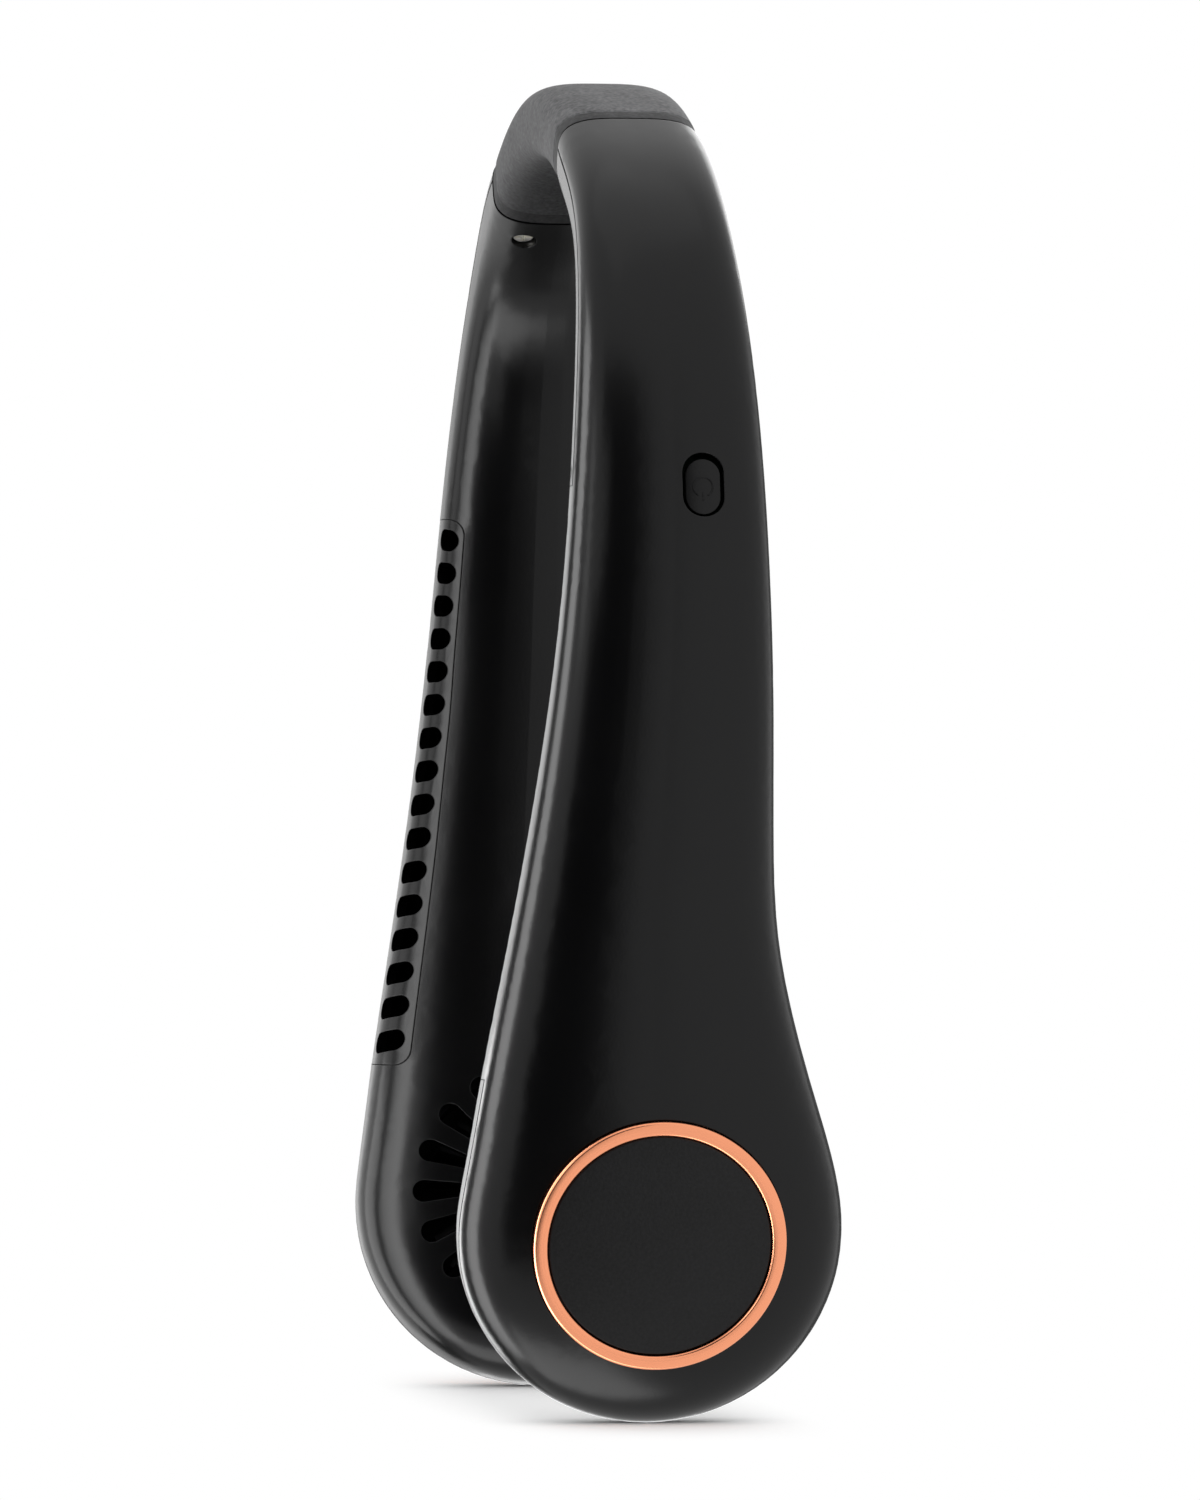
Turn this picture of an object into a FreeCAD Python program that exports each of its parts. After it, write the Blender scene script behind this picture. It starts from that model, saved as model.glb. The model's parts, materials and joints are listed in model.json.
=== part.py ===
import FreeCAD, Part
import math
import os
import Sketcher

# Electric neck fan: two hollow arms on a flexible neck band, a blower in each bulb.
# Lengths are in mm. X runs from arm to arm, the air outlets face -Y, Z is up.
# The right arm (+X) is drawn and its mirror image is the left arm.

Vector = FreeCAD.Vector
Y_AXIS = Vector(0, 1, 0)
doc = FreeCAD.newDocument("neck_fan")
sheet = doc.addObject("Spreadsheet::Sheet", "Sizes")

# Stations of the arm, from the band seam down to the middle of the bulb:
# place of the middle line (x, z), edges across (low y, high y), thickness, squareness of the section.
STATIONS = (
    ("seam", 37.0, 197.0, -10.6, 12.0, 13.0, 3.5),
    ("shoulder", 54.8, 186.8, -10.8, 12.8, 13.2, 3.3),
    ("bend", 65.2, 174.0, -11.6, 13.9, 13.8, 3.1),
    ("upper", 72.8, 155.0, -13.15, 15.3, 14.8, 2.9),
    ("widest", 76.5, 133.0, -14.95, 16.3, 16.2, 2.8),
    ("middle", 76.2, 111.0, -17.3, 17.0, 17.8, 2.8),
    ("lower", 73.8, 90.0, -20.3, 17.4, 19.4, 2.8),
    ("waist", 71.7, 76.0, -22.6, 18.4, 20.6, 2.8),
    ("flare", 69.6, 64.0, -24.7, 20.9, 21.6, 2.8),
    ("cheek", 67.35, 52.0, -26.75, 24.5, 22.4, 2.8),
    ("brow", 65.0, 40.0, -28.6, 28.3, 22.9, 2.8),
    ("temple", 63.43, 32.5, -29.69, 29.69, 22.99, 2.8),
    ("bulb", 62.75, 29.48, -29.8, 29.8, 23.0, 2.8),
)

SIZES = {
    # reach of the spaces and cutters that part the arm
    "space_reach": 120.0,
    "cut_past": 10.0,
    "bore_past": 1.0,
    # shell
    "wall": 1.8,
    "end_wall": 2.2,
    "bulb_lean": 12.8,
    "part_line_n": 1.2,
    "part_line_wide": 0.45,
    "part_line_deep": 0.5,
    # band
    "crown_z": 204.8,
    "band_mid_x": 19.0,
    "band_mid_z": 202.8,
    "seam_gap": 0.15,
    "strip_wide": 7.0,
    "strip_y": -1.0,
    "strip_thick": 0.6,
    "strip_short": 3.0,
    "cable_r": 1.1,
    "cable_y": 4.4,
    "cable_room": 0.1,
    "cable_past": 12.0,
    # band anchor and its screws
    "anchor_at": 6.3,
    "anchor_in_band": 9.0,
    "anchor_in_arm": 5.4,
    "anchor_wide": 18.0,
    "anchor_thick": 4.8,
    "anchor_y": 1.0,
    "screw_y": 6.0,
    "screw_r": 0.95,
    "screw_long": 5.6,
    "screw_head_r": 1.9,
    "screw_head": 1.2,
    "screw_sink": 0.9,
    "screw_head_bevel": 0.3,
    "screw_cross": 0.55,
    "screw_cross_edge": 0.45,
    "screw_cross_deep": 0.65,
    "screw_room": 0.15,
    "boss_r": 3.1,
    # trim ring and cover disc
    "cover_rise": 0.8,
    "seat_n": 8.8,
    "seat_plate": 1.9,
    "seat_r": 21.5,
    "seat_room": 0.15,
    "ring_r": 19.6,
    "ring_wide": 2.2,
    "ring_top_n": 11.9,
    "ring_bevel": 0.7,
    "ring_inner_bevel": 0.25,
    "disc_room": 0.15,
    "disc_top_n": 11.45,
    "disc_bevel": 0.3,
    # air outlet grille
    "grille_top_z": 144.0,
    "grille_low_z": 53.2,
    "grille_wide_top": 3.3,
    "grille_wide_low": 5.0,
    "grille_corner": 2.8,
    "grille_gap": 0.12,
    "slot_count": 16,
    "slot_first_z": 141.07,
    "slot_pitch": 5.67,
    "slot_high": 3.6,
    "slot_start": 0.05,
    "slot_flat": 0.05,
    "slot_wide_top": 2.45,
    "slot_wide_low": 4.0,
    # intake slots
    "intake_count": 18,
    "intake_out_r": 21.6,
    "intake_in_r": 10.5,
    "intake_out_w": 3.7,
    "intake_in_w": 1.7,
    "intake_deep": 5.5,
    # button
    "button_z": 142.9,
    "button_y": 5.3,
    "button_drop": 0.25,
    "button_wide": 5.4,
    "button_long": 8.65,
    "button_top_n": 7.1,
    "button_travel": 0.6,
    "button_room": 0.55,
    "button_end_room": 0.67,
    "button_clear": 0.3,
    "button_flange": 0.6,
    "button_flange_over": 1.1,
    "flange_end_share": 0.48,
    "button_end_share": 0.49,
    # main board, switch, charging socket
    "board_n": 0.6,
    "board_thick": 1.2,
    "board_long": 28.0,
    "board_low_y": -2.0,
    "board_high_y": 11.8,
    "board_shift": 2.0,
    "switch_wide": 4.2,
    "switch_high": 1.9,
    "switch_round": 0.4,
    "plunger_r": 1.0,
    "plunger_room": 0.05,
    "plunger_in": 1.0,
    "socket_at": -6.0,
    "socket_wide": 8.9,
    "socket_high": 3.2,
    "socket_deep": 7.4,
    "socket_mouth_y": 15.4,
    "socket_sheet": 0.3,
    "socket_room": 0.15,
    "socket_end_share": 0.47,
    "tongue_wide": 6.7,
    "tongue_thick": 0.7,
    "tongue_long": 4.4,
    # battery
    "cell_z": 105.0,
    "cell_long": 42.0,
    "cell_wide": 16.0,
    "cell_thick": 8.4,
    "cell_y": 4.6,
    "cell_round": 1.5,
    "rib_thick": 1.2,
    "rib_span": 13.0,
    "rib_share": 0.3,
    "post_short": 1.5,
    # blower
    "guide_in_r": 11.6,
    "guide_out_r": 22.6,
    "guide_wall": 1.2,
    "guide_floor": 1.1,
    "guide_deep": 12.6,
    "guide_open_deg": 110.0,
    "guide_open_from": 95.0,
    "guide_open_past": 0.01,
    "plate_r": 11.0,
    "plate_thick": 1.0,
    "bearing_r": 2.5,
    "bearing_low_n": -2.5,
    "shaft_r": 1.0,
    "shaft_fit": 0.03,
    "shaft_end_gap": 0.6,
    "core_hub_r": 3.9,
    "core_low_n": -0.8,
    "core_high": 4.0,
    "pole_count": 6,
    "pole_wide": 1.7,
    "pole_shoe_r": 6.1,
    "core_r": 7.0,
    "shoe_gap": 1.5,
    "coil_wide": 3.2,
    "coil_over": 0.8,
    "coil_ring": 0.7,
    "coil_room": 0.1,
    "magnet_gap": 0.5,
    "magnet_thick": 0.8,
    "magnet_low_n": -1.6,
    "cup_wall": 0.7,
    "cup_top_n": 3.4,
    "cup_floor_n": -4.3,
    "hub_wall": 0.9,
    "hub_floor": 1.0,
    "wheel_r": 18.8,
    "wheel_plate": 0.8,
    "wheel_top_n": 3.6,
    "blade_count": 22,
    "blade_thick": 0.8,
    "blade_low_n": -5.0,
    "blade_lean": 24.0,
    "blade_root": 0.3,
}

for name, x, z, low, high, thick, square in STATIONS:
    SIZES[name + "_x"] = x
    SIZES[name + "_z"] = z
    SIZES[name + "_low"] = low
    SIZES[name + "_high"] = high
    SIZES[name + "_thick"] = thick
    SIZES[name + "_square"] = square

row = 1
for alias, number in SIZES.items():
    sheet.set("A%d" % row, alias)
    sheet.set("B%d" % row, str(number))
    sheet.setAlias("B%d" % row, alias)
    row += 1
doc.recompute()


class Size:
    """A size from the sheet: its number, and the expression that binds a feature to it."""

    def __init__(self, text, value):
        self.text = text
        self.value = float(value)

    def joined(self, other, sign, value):
        other_text = other.text if isinstance(other, Size) else repr(float(other))
        return Size("(%s %s %s)" % (self.text, sign, other_text), value)

    def __add__(self, other):
        return self.joined(other, "+", self.value + float(other))

    def __sub__(self, other):
        return self.joined(other, "-", self.value - float(other))

    def __mul__(self, other):
        return self.joined(other, "*", self.value * float(other))

    def __neg__(self):
        return Size("(0 - %s)" % self.text, -self.value)

    def __float__(self):
        return self.value


def size(alias):
    return Size("Sizes." + alias, sheet.get(alias))


def num(alias):
    return float(sheet.get(alias))


ZERO = Size("0", 0.0)
HALF_STEPS = 24
CROWN_STEPS = 24
BAND_STEPS = 8

# Middle line of the band and the arm


def middle_line():
    points = [Vector(0, 0, num("crown_z")), Vector(num("band_mid_x"), 0, num("band_mid_z"))]
    for station in STATIONS:
        points.append(Vector(num(station[0] + "_x"), 0, num(station[0] + "_z")))
    lean = math.radians(num("bulb_lean"))
    curve = Part.BSplineCurve()
    last = Vector(-math.sin(lean), 0, -math.cos(lean))
    curve.interpolate(Points=points, InitialTangent=Vector(1, 0, 0), FinalTangent=last)
    return curve


LINE = middle_line()


class Frame:
    """A place on the middle line: origin, direction along the arm, direction out of the loop."""

    def __init__(self, parameter):
        self.origin = LINE.value(parameter)
        self.along = Vector(*LINE.tangent(parameter)[0])
        self.out = Vector(-self.along.z, 0, self.along.x)

    def point(self, along, y, out):
        return self.origin + self.along * along + Y_AXIS * y + self.out * out

    def placement(self):
        turn = math.degrees(math.atan2(self.out.x, self.out.z))
        return FreeCAD.Placement(self.origin, FreeCAD.Rotation(Y_AXIS, turn))


def parameter_at(station_name):
    place = Vector(num(station_name + "_x"), 0, num(station_name + "_z"))
    return LINE.parameter(place)


SEAM_U = parameter_at("seam")
BULB_U = parameter_at("bulb")


def parameter_at_height(height):
    high, low = SEAM_U, BULB_U
    for _ in range(60):
        middle = (high + low) / 2
        if LINE.value(middle).z > height:
            high = middle
        else:
            low = middle
    return (high + low) / 2


def parameter_along(start, distance):
    return LINE.parameterAtDistance(distance, start)


def measures(name):
    """Edges, thickness and squareness of the arm at a station."""
    return [num(name + part) for part in ("_low", "_high", "_thick", "_square")]


def measures_at(height):
    """The same at a height, between the stations next to it."""
    names = [station[0] for station in STATIONS]
    for upper, lower in zip(names, names[1:]):
        top, bottom = num(upper + "_z"), num(lower + "_z")
        if top >= height >= bottom:
            share = (top - height) / (top - bottom)
            pairs = zip(measures(upper), measures(lower))
            return [first * (1 - share) + second * share for first, second in pairs]
    raise ValueError("height is off the arm")


# Cross-section: a rounded oblong, made of two half curves


def oblong_point(low, high, thick, square, inset, degrees):
    power = 2.0 / square
    angle = math.radians(degrees)
    across, out = math.cos(angle), math.sin(angle)
    y = math.copysign(abs(across) ** power, across) * ((high - low) / 2 - inset)
    n = math.copysign(abs(out) ** power, out) * (thick / 2 - inset)
    return (low + high) / 2 + y, n


def half_section(frame, name, inset, side):
    low, high, thick, square = measures(name)
    points = []
    for step in range(HALF_STEPS + 1):
        degrees = -90 + 180.0 * step / HALF_STEPS
        turn = degrees if side > 0 else 180 - degrees
        y, n = oblong_point(low, high, thick, square, inset, turn)
        if step in (0, HALF_STEPS):
            y = (low + high) / 2
        points.append(frame.point(0, y, n))
    curve = Part.BSplineCurve()
    start, end = Vector(0, side, 0), Vector(0, -side, 0)
    curve.interpolate(Points=points, InitialTangent=start, FinalTangent=end)
    return curve.toShape()


def section(frame, name, inset):
    return Part.Wire([half_section(frame, name, inset, 1), half_section(frame, name, inset, -1)])


def arm_form(inset, start):
    """The arm as one solid, drawn in by inset, its top face moved down the arm by start."""
    wires = []
    for station in STATIONS:
        frame = Frame(parameter_at(station[0]))
        if station[0] == "seam" and start:
            frame = Frame(parameter_along(SEAM_U, start))
        wires.append(section(frame, station[0], inset))
    upper = Part.makeLoft(wires, True, False)
    frame = Frame(BULB_U)
    edge = half_section(frame, "bulb", inset, 1)
    axis = Part.LineSegment(edge.lastVertex().Point, edge.firstVertex().Point).toShape()
    face = Part.Face(Part.Wire([edge, axis]))
    lower = face.revolve(frame.origin, frame.out * -1, 180)
    return upper.fuse(lower).removeSplitter()


def shape_object(label, shape):
    item = doc.addObject("Part::Feature", label)
    item.Shape = shape
    item.Label = label
    return item


def outer_side(offset):
    """All space on the outer side of the middle line, moved out by offset."""
    count = 40
    points = []
    for step in range(count + 1):
        frame = Frame(SEAM_U + (BULB_U - SEAM_U) * step / count)
        points.append(frame.point(0, 0, offset))
    seam, bulb = Frame(SEAM_U), Frame(BULB_U)
    curve = Part.BSplineCurve()
    curve.interpolate(Points=points, InitialTangent=seam.along, FinalTangent=bulb.along)
    reach = num("space_reach")
    start = seam.point(-num("cut_past"), 0, offset)
    end = bulb.point(reach / 2, 0, offset)
    far_x, far_z = seam.origin.x + reach, seam.origin.z + reach
    corners = [end, Vector(far_x, 0, end.z), Vector(far_x, 0, far_z), Vector(start.x, 0, far_z), start]
    edges = [Part.LineSegment(start, points[0]).toShape(), curve.toShape()]
    edges.append(Part.LineSegment(points[-1], end).toShape())
    for first, second in zip(corners, corners[1:]):
        edges.append(Part.LineSegment(first, second).toShape())
    face = Part.Face(Part.Wire(edges))
    face.translate(Vector(0, -reach, 0))
    return face.extrude(Vector(0, 2 * reach, 0))


# Helpers for bodies with sketches


def new_body(label, placement):
    body = doc.addObject("PartDesign::Body", label)
    body.Label = label
    body.Placement = placement
    return body


def plane(body, role):
    return [f for f in body.Origin.OriginFeatures if f.Role == role][0]


def polygon(body, name, role, corners):
    """A closed sketch of straight lines, each corner bound to sizes in the sheet."""
    sketch = body.newObject("Sketcher::SketchObject", name)
    sketch.AttachmentSupport = [(plane(body, role), "")]
    sketch.MapMode = "FlatFace"
    count = len(corners)
    places = [Vector(float(x), float(y), 0) for x, y in corners]
    for i in range(count):
        sketch.addGeometry(Part.LineSegment(places[i], places[(i + 1) % count]), False)
    for i in range(count):
        sketch.addConstraint(Sketcher.Constraint("Coincident", i, 2, (i + 1) % count, 1))
    for i, (x, y) in enumerate(corners):
        for kind, part, axis in (("DistanceX", x, -2), ("DistanceY", y, -1)):
            if part.text == "0":
                sketch.addConstraint(Sketcher.Constraint("PointOnObject", i, 1, axis))
                continue
            rule = Sketcher.Constraint(kind, -1, 1, i, 1, part.value)
            index = sketch.addConstraint(rule)
            sketch.setExpression("Constraints[%d]" % index, part.text)
    return sketch


def turned(label, placement, corners):
    """A body of revolution: corners are (radius, height along the axis)."""
    body = new_body(label, placement)
    sketch = polygon(body, label + "_profile", "XZ_Plane", corners)
    turn = body.newObject("PartDesign::Revolution", label + "_turn")
    turn.Profile = sketch
    turn.ReferenceAxis = (sketch, ["V_Axis"])
    turn.Angle = 360
    sketch.Visibility = False
    return body


def padded(body, name, role, corners, bottom, height):
    """A pad of a straight-sided outline from bottom, as high as height."""
    sketch = polygon(body, name + "_outline", role, corners)
    sketch.setExpression("AttachmentOffset.Base.z", bottom.text)
    pad = body.newObject("PartDesign::Pad", name)
    pad.Profile = sketch
    pad.setExpression("Length", height.text)
    return pad


def oblong_corners(middle_x, middle_y, long_x, wide_y):
    left, right = middle_x - long_x * 0.5, middle_x + long_x * 0.5
    low, high = middle_y - wide_y * 0.5, middle_y + wide_y * 0.5
    return [(left, low), (right, low), (right, high), (left, high)]


def rounded(body, base, name, radius):
    """Rounds the upright edges of a straight-sided pad."""
    doc.recompute()
    upright = []
    for i, edge in enumerate(base.Shape.Edges):
        direction = edge.Vertexes[-1].Point - edge.Vertexes[0].Point
        if abs(direction.x) + abs(direction.y) < 1e-6:
            upright.append("Edge%d" % (i + 1))
    fillet = body.newObject("PartDesign::Fillet", name)
    fillet.Base = (base, upright)
    fillet.setExpression("Radius", radius.text)
    return fillet


def cut(label, base, *tools):
    item = base
    for i, tool in enumerate(tools):
        step = doc.addObject("Part::Cut", "%s_cut_%d" % (label, i))
        step.Base = item
        step.Tool = tool
        item = step
    item.Label = label
    return item


def fuse(label, *items):
    item = doc.addObject("Part::MultiFuse", label)
    item.Shapes = list(items)
    item.Label = label
    return item


def common(label, *items):
    item = doc.addObject("Part::MultiCommon", label)
    item.Shapes = list(items)
    item.Label = label
    return item


NODES = []


def node(item, label):
    item.Label = label
    NODES.append((label, item))
    return item


def mirrored(item, label):
    copy = doc.addObject("Part::Mirroring", label + "_mirror")
    copy.Source = item
    copy.Base = Vector(0, 0, 0)
    copy.Normal = Vector(1, 0, 0)
    return node(copy, label)


def both(item, name):
    node(item, "right_" + name)
    mirrored(item, "left_" + name)


BULB = Frame(BULB_U)
BULB_PLACE = BULB.placement()
COVER_PLACE = BULB_PLACE.multiply(FreeCAD.Placement(Vector(-num("cover_rise"), 0, 0), FreeCAD.Rotation()))
ANCHOR = Frame(parameter_along(SEAM_U, num("anchor_at")))
ANCHOR_PLACE = ANCHOR.placement()
PANEL = Frame(parameter_at_height(num("button_z")))
PANEL_PLACE = PANEL.placement()
CELL = Frame(parameter_at_height(num("cell_z")))
CELL_PLACE = CELL.placement()


def local(label, frame_place, shape):
    item = shape_object(label, shape)
    item.Placement = frame_place
    return item


def cylinder(label, frame_place, radius, bottom, height):
    """A round solid on the axis out of the loop, bound to the sheet."""
    item = doc.addObject("Part::Cylinder", label)
    item.setExpression("Radius", radius.text)
    item.setExpression("Height", height.text)
    item.Placement = frame_place.multiply(FreeCAD.Placement(Vector(0, 0, float(bottom)), FreeCAD.Rotation()))
    return item


def block(label, frame_place, corner, spans, turn=0.0):
    """A straight block from a corner, turned about the axis out of the loop."""
    item = doc.addObject("Part::Box", label)
    for key, span in zip(("Length", "Width", "Height"), spans):
        item.setExpression(key, span.text)
    spin = FreeCAD.Placement(Vector(), FreeCAD.Rotation(Vector(0, 0, 1), turn))
    shift = FreeCAD.Placement(Vector(*[float(c) for c in corner]), FreeCAD.Rotation())
    item.Placement = frame_place.multiply(spin).multiply(shift)
    return item


# Air outlets: a strip of the outer shell along the -Y edge, with a row of slots


def grille_zone(grow):
    """The space of the grille as seen from the side, between two heights and inwards of the edge."""
    top, low = num("grille_top_z") + grow, num("grille_low_z") - grow
    reach = num("space_reach")
    count = 14
    points = []
    for step in range(count + 1):
        share = step / float(count)
        height = low + (top - low) * share
        wide = num("grille_wide_low") * (1 - share) + num("grille_wide_top") * share
        points.append(Vector(0, measures_at(height)[0] + wide + grow, height))
    curve = Part.BSplineCurve()
    curve.interpolate(Points=points)
    left_top, left_low = Vector(0, -reach, top), Vector(0, -reach, low)
    edges = [curve.toShape(), Part.LineSegment(points[-1], left_top).toShape()]
    edges.append(Part.LineSegment(left_top, left_low).toShape())
    edges.append(Part.LineSegment(left_low, points[0]).toShape())
    zone = Part.Face(Part.Wire(edges)).extrude(Vector(reach, 0, 0))
    corners = []
    for edge in zone.Edges:
        first, last = edge.Vertexes[0].Point, edge.Vertexes[-1].Point
        if abs(last.x - first.x) > reach / 2 and first.y > -reach / 2:
            corners.append(edge)
    return zone.makeFillet(num("grille_corner") + grow, corners)


def outlet_form(index):
    """One outlet slot: an oblong cut square to the rounded edge of the section."""
    height = num("slot_first_z") - index * num("slot_pitch")
    share = index / (num("slot_count") - 1)
    wide = num("slot_wide_top") * (1 - share) + num("slot_wide_low") * share
    low, high, thick, power = measures_at(height)

    def on_edge(y):
        across = abs(y - (low + high) / 2) / ((high - low) / 2)
        return -(thick / 2) * (1 - across ** power) ** (1 / power)

    first_y = low + num("slot_start")
    last_y = first_y + wide
    first, last = (first_y, on_edge(first_y)), (last_y, on_edge(last_y))
    frame = Frame(parameter_at_height(height))
    middle = frame.point(0, (first[0] + last[0]) / 2, (first[1] + last[1]) / 2)
    chord = Y_AXIS * (last[0] - first[0]) + frame.out * (last[1] - first[1])
    length = chord.Length
    chord.normalize()
    depth = frame.along.cross(chord)
    half, radius = length / 2, num("slot_high") / 2
    flat = max(half - radius, num("slot_flat"))
    at = middle - depth * num("cut_past")
    up = frame.along * radius
    corners = [at - chord * flat + up, at + chord * flat + up, at + chord * (flat + radius)]
    corners += [at + chord * flat - up, at - chord * flat - up, at - chord * (flat + radius)]
    edges = [Part.LineSegment(corners[0], corners[1]).toShape()]
    edges.append(Part.Arc(corners[1], corners[2], corners[3]).toShape())
    edges.append(Part.LineSegment(corners[3], corners[4]).toShape())
    edges.append(Part.Arc(corners[4], corners[5], corners[0]).toShape())
    return Part.Face(Part.Wire(edges)).extrude(depth * 2 * num("cut_past"))


# Arm blanks: one hollow form, parted on a line that runs round the edge. Along the air outlets
# the outer shell reaches round the -Y edge, and the inner shell is cut back to make room for it.

skin = shape_object("arm_skin", arm_form(0.0, 0.0))
skin_inset = shape_object("arm_skin_inset", arm_form(num("part_line_deep"), 0.0))
cavity = shape_object("arm_cavity", arm_form(num("wall"), num("end_wall")))
line_n = num("part_line_n")
outer_space = shape_object("outer_space", outer_side(line_n))
outer_space_high = shape_object("outer_space_high", outer_side(line_n + num("part_line_wide")))
zone = shape_object("grille_zone", grille_zone(0.0))
zone_room = shape_object("grille_zone_room", grille_zone(num("grille_gap")))

outer_main = common("outer_main", skin, outer_space_high)
outer_step = common("outer_step", skin_inset, outer_space)
outer_lobe = common("outer_lobe", skin, zone)
outer_solid = fuse("outer_solid", outer_main, outer_step, outer_lobe)
inner_solid = cut("inner_solid", skin, outer_space, zone_room)

# Band anchor: a stiff tongue moulded into the band end and screwed into the arm

seam_to_tip = size("anchor_at") + size("anchor_in_band")
anchor_long = seam_to_tip + size("anchor_in_arm")
anchor_corner = (-seam_to_tip, size("anchor_y") - size("anchor_wide") * 0.5, -size("anchor_thick") * 0.5)
anchor_blank = block(
    "anchor_blank", ANCHOR_PLACE, anchor_corner, (anchor_long, size("anchor_wide"), size("anchor_thick"))
)

boss_bottom = -num("seam_thick") / 2 + num("wall") / 2
boss_height = -num("anchor_thick") / 2 - boss_bottom
head_seat = -num("seam_thick") / 2 + num("screw_sink") + num("screw_head")
bosses = []
screw_rooms = []
screw_bodies = []
for i, side in enumerate((-1, 1)):
    y = num("anchor_y") + side * num("screw_y")
    spot = ANCHOR_PLACE.multiply(FreeCAD.Placement(Vector(0, y, 0), FreeCAD.Rotation()))
    boss = doc.addObject("Part::Cylinder", "screw_boss_%d" % i)
    boss.setExpression("Radius", "Sizes.boss_r")
    boss.Height = boss_height
    boss.Placement = spot.multiply(FreeCAD.Placement(Vector(0, 0, boss_bottom), FreeCAD.Rotation()))
    bosses.append(boss)
    room = num("screw_room")
    past = num("cut_past")
    head_hole = Part.makeCylinder(num("screw_head_r") + room, past, Vector(0, 0, head_seat - past))
    shank_hole = Part.makeCylinder(num("screw_r") + room, num("screw_long"), Vector(0, 0, head_seat - room))
    screw_rooms.append(local("screw_room_%d" % i, spot, head_hole.fuse(shank_hole)))
    head_top = head_seat - num("screw_head")
    head = Part.makeCylinder(num("screw_head_r"), num("screw_head"), Vector(0, 0, head_top))
    rims = [e for e in head.Edges if e.Vertexes[0].Z < head_top + room]
    head = head.makeChamfer(num("screw_head_bevel"), rims[:1])
    shank = Part.makeCylinder(num("screw_r"), num("screw_long"), Vector(0, 0, head_seat))
    arm_long = 2 * (num("screw_head_r") - num("screw_cross_edge"))
    cross, deep = num("screw_cross"), num("screw_cross_deep")
    bar = Part.makeBox(arm_long, cross, 2 * deep, Vector(-arm_long / 2, -cross / 2, head_top - deep))
    other = Part.makeBox(cross, arm_long, 2 * deep, Vector(-cross / 2, -arm_long / 2, head_top - deep))
    screw_bodies.append(local("screw_%d" % i, spot, head.fuse(shank).removeSplitter().cut(bar.fuse(other))))

screws = doc.addObject("Part::Compound", "band_screws")
screws.Links = screw_bodies

# Spring strip, link cable and silicone band along the crown

mirror_x = Vector(1, 0, 0)


def crown_frames(reach, count):
    """Frames on the middle line from the left side to the right side, past the crown."""
    frames = []
    for step in range(count + 1):
        share = -1 + 2.0 * step / count
        parameter = LINE.FirstParameter + abs(share) * (reach - LINE.FirstParameter)
        frame = Frame(parameter)
        if share < 0:
            frame.origin = Vector(-frame.origin.x, 0, frame.origin.z)
            frame.along = Vector(frame.along.x, 0, -frame.along.z)
            frame.out = Vector(-frame.out.x, 0, frame.out.z)
        frames.append(frame)
    return frames


def crown_line(reach, y, out):
    frames = crown_frames(reach, CROWN_STEPS)
    points = [f.point(0, y, out) for f in frames]
    curve = Part.BSplineCurve()
    curve.interpolate(Points=points, InitialTangent=frames[0].along, FinalTangent=frames[-1].along)
    return curve.toShape()


def strip_form():
    reach = parameter_along(SEAM_U, -num("strip_short"))
    half = num("strip_thick") / 2
    low_y = num("strip_y") - num("strip_wide") / 2
    upper, lower = crown_line(reach, low_y, half), crown_line(reach, low_y, -half)
    ends = [
        Part.LineSegment(upper.Vertexes[i].Point, lower.Vertexes[i].Point).toShape() for i in (0, 1)
    ]
    face = Part.Face(Part.Wire(Part.__sortEdges__([upper, lower] + ends)))
    return face.extrude(Vector(0, num("strip_wide"), 0))


def cable_form(radius, past):
    reach = parameter_along(SEAM_U, past)
    route = crown_line(reach, num("cable_y"), 0)
    start = crown_frames(reach, CROWN_STEPS)[0]
    circle = Part.Circle(start.point(0, num("cable_y"), 0), start.along, radius)
    return Part.Wire([route]).makePipeShell([Part.Wire([circle.toShape()])], True, True)


def band_form():
    reach = parameter_along(SEAM_U, -num("seam_gap"))
    wires = []
    for frame in crown_frames(reach, BAND_STEPS):
        wires.append(section(frame, "seam", 0.0))
    return Part.makeLoft(wires, True, False)


strip = shape_object("strip", strip_form())
cable = shape_object("cable", cable_form(num("cable_r"), num("cable_past")))
cable_bore_r = num("cable_r") + num("cable_room")
cable_bore = shape_object("cable_bore", cable_form(cable_bore_r, num("cable_past") + num("wall")))
band_blank = shape_object("band_blank", band_form())
anchor_mirror = doc.addObject("Part::Mirroring", "anchor_blank_mirror")
anchor_mirror.Source = anchor_blank
anchor_mirror.Normal = mirror_x
band = cut("band", band_blank, anchor_blank, anchor_mirror, strip, cable_bore)
anchor_holes = fuse("anchor_holes", *screw_bodies)
anchor = cut("anchor", anchor_blank, strip, cable_bore, anchor_holes)

node(band, "neck_band")
node(strip, "band_spring_strip")
node(cable, "link_cable")
both(anchor, "band_anchor")
both(screws, "band_screws")

# Outer shell: hollow, with a seat for ring and disc and ribs for the cell

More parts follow.
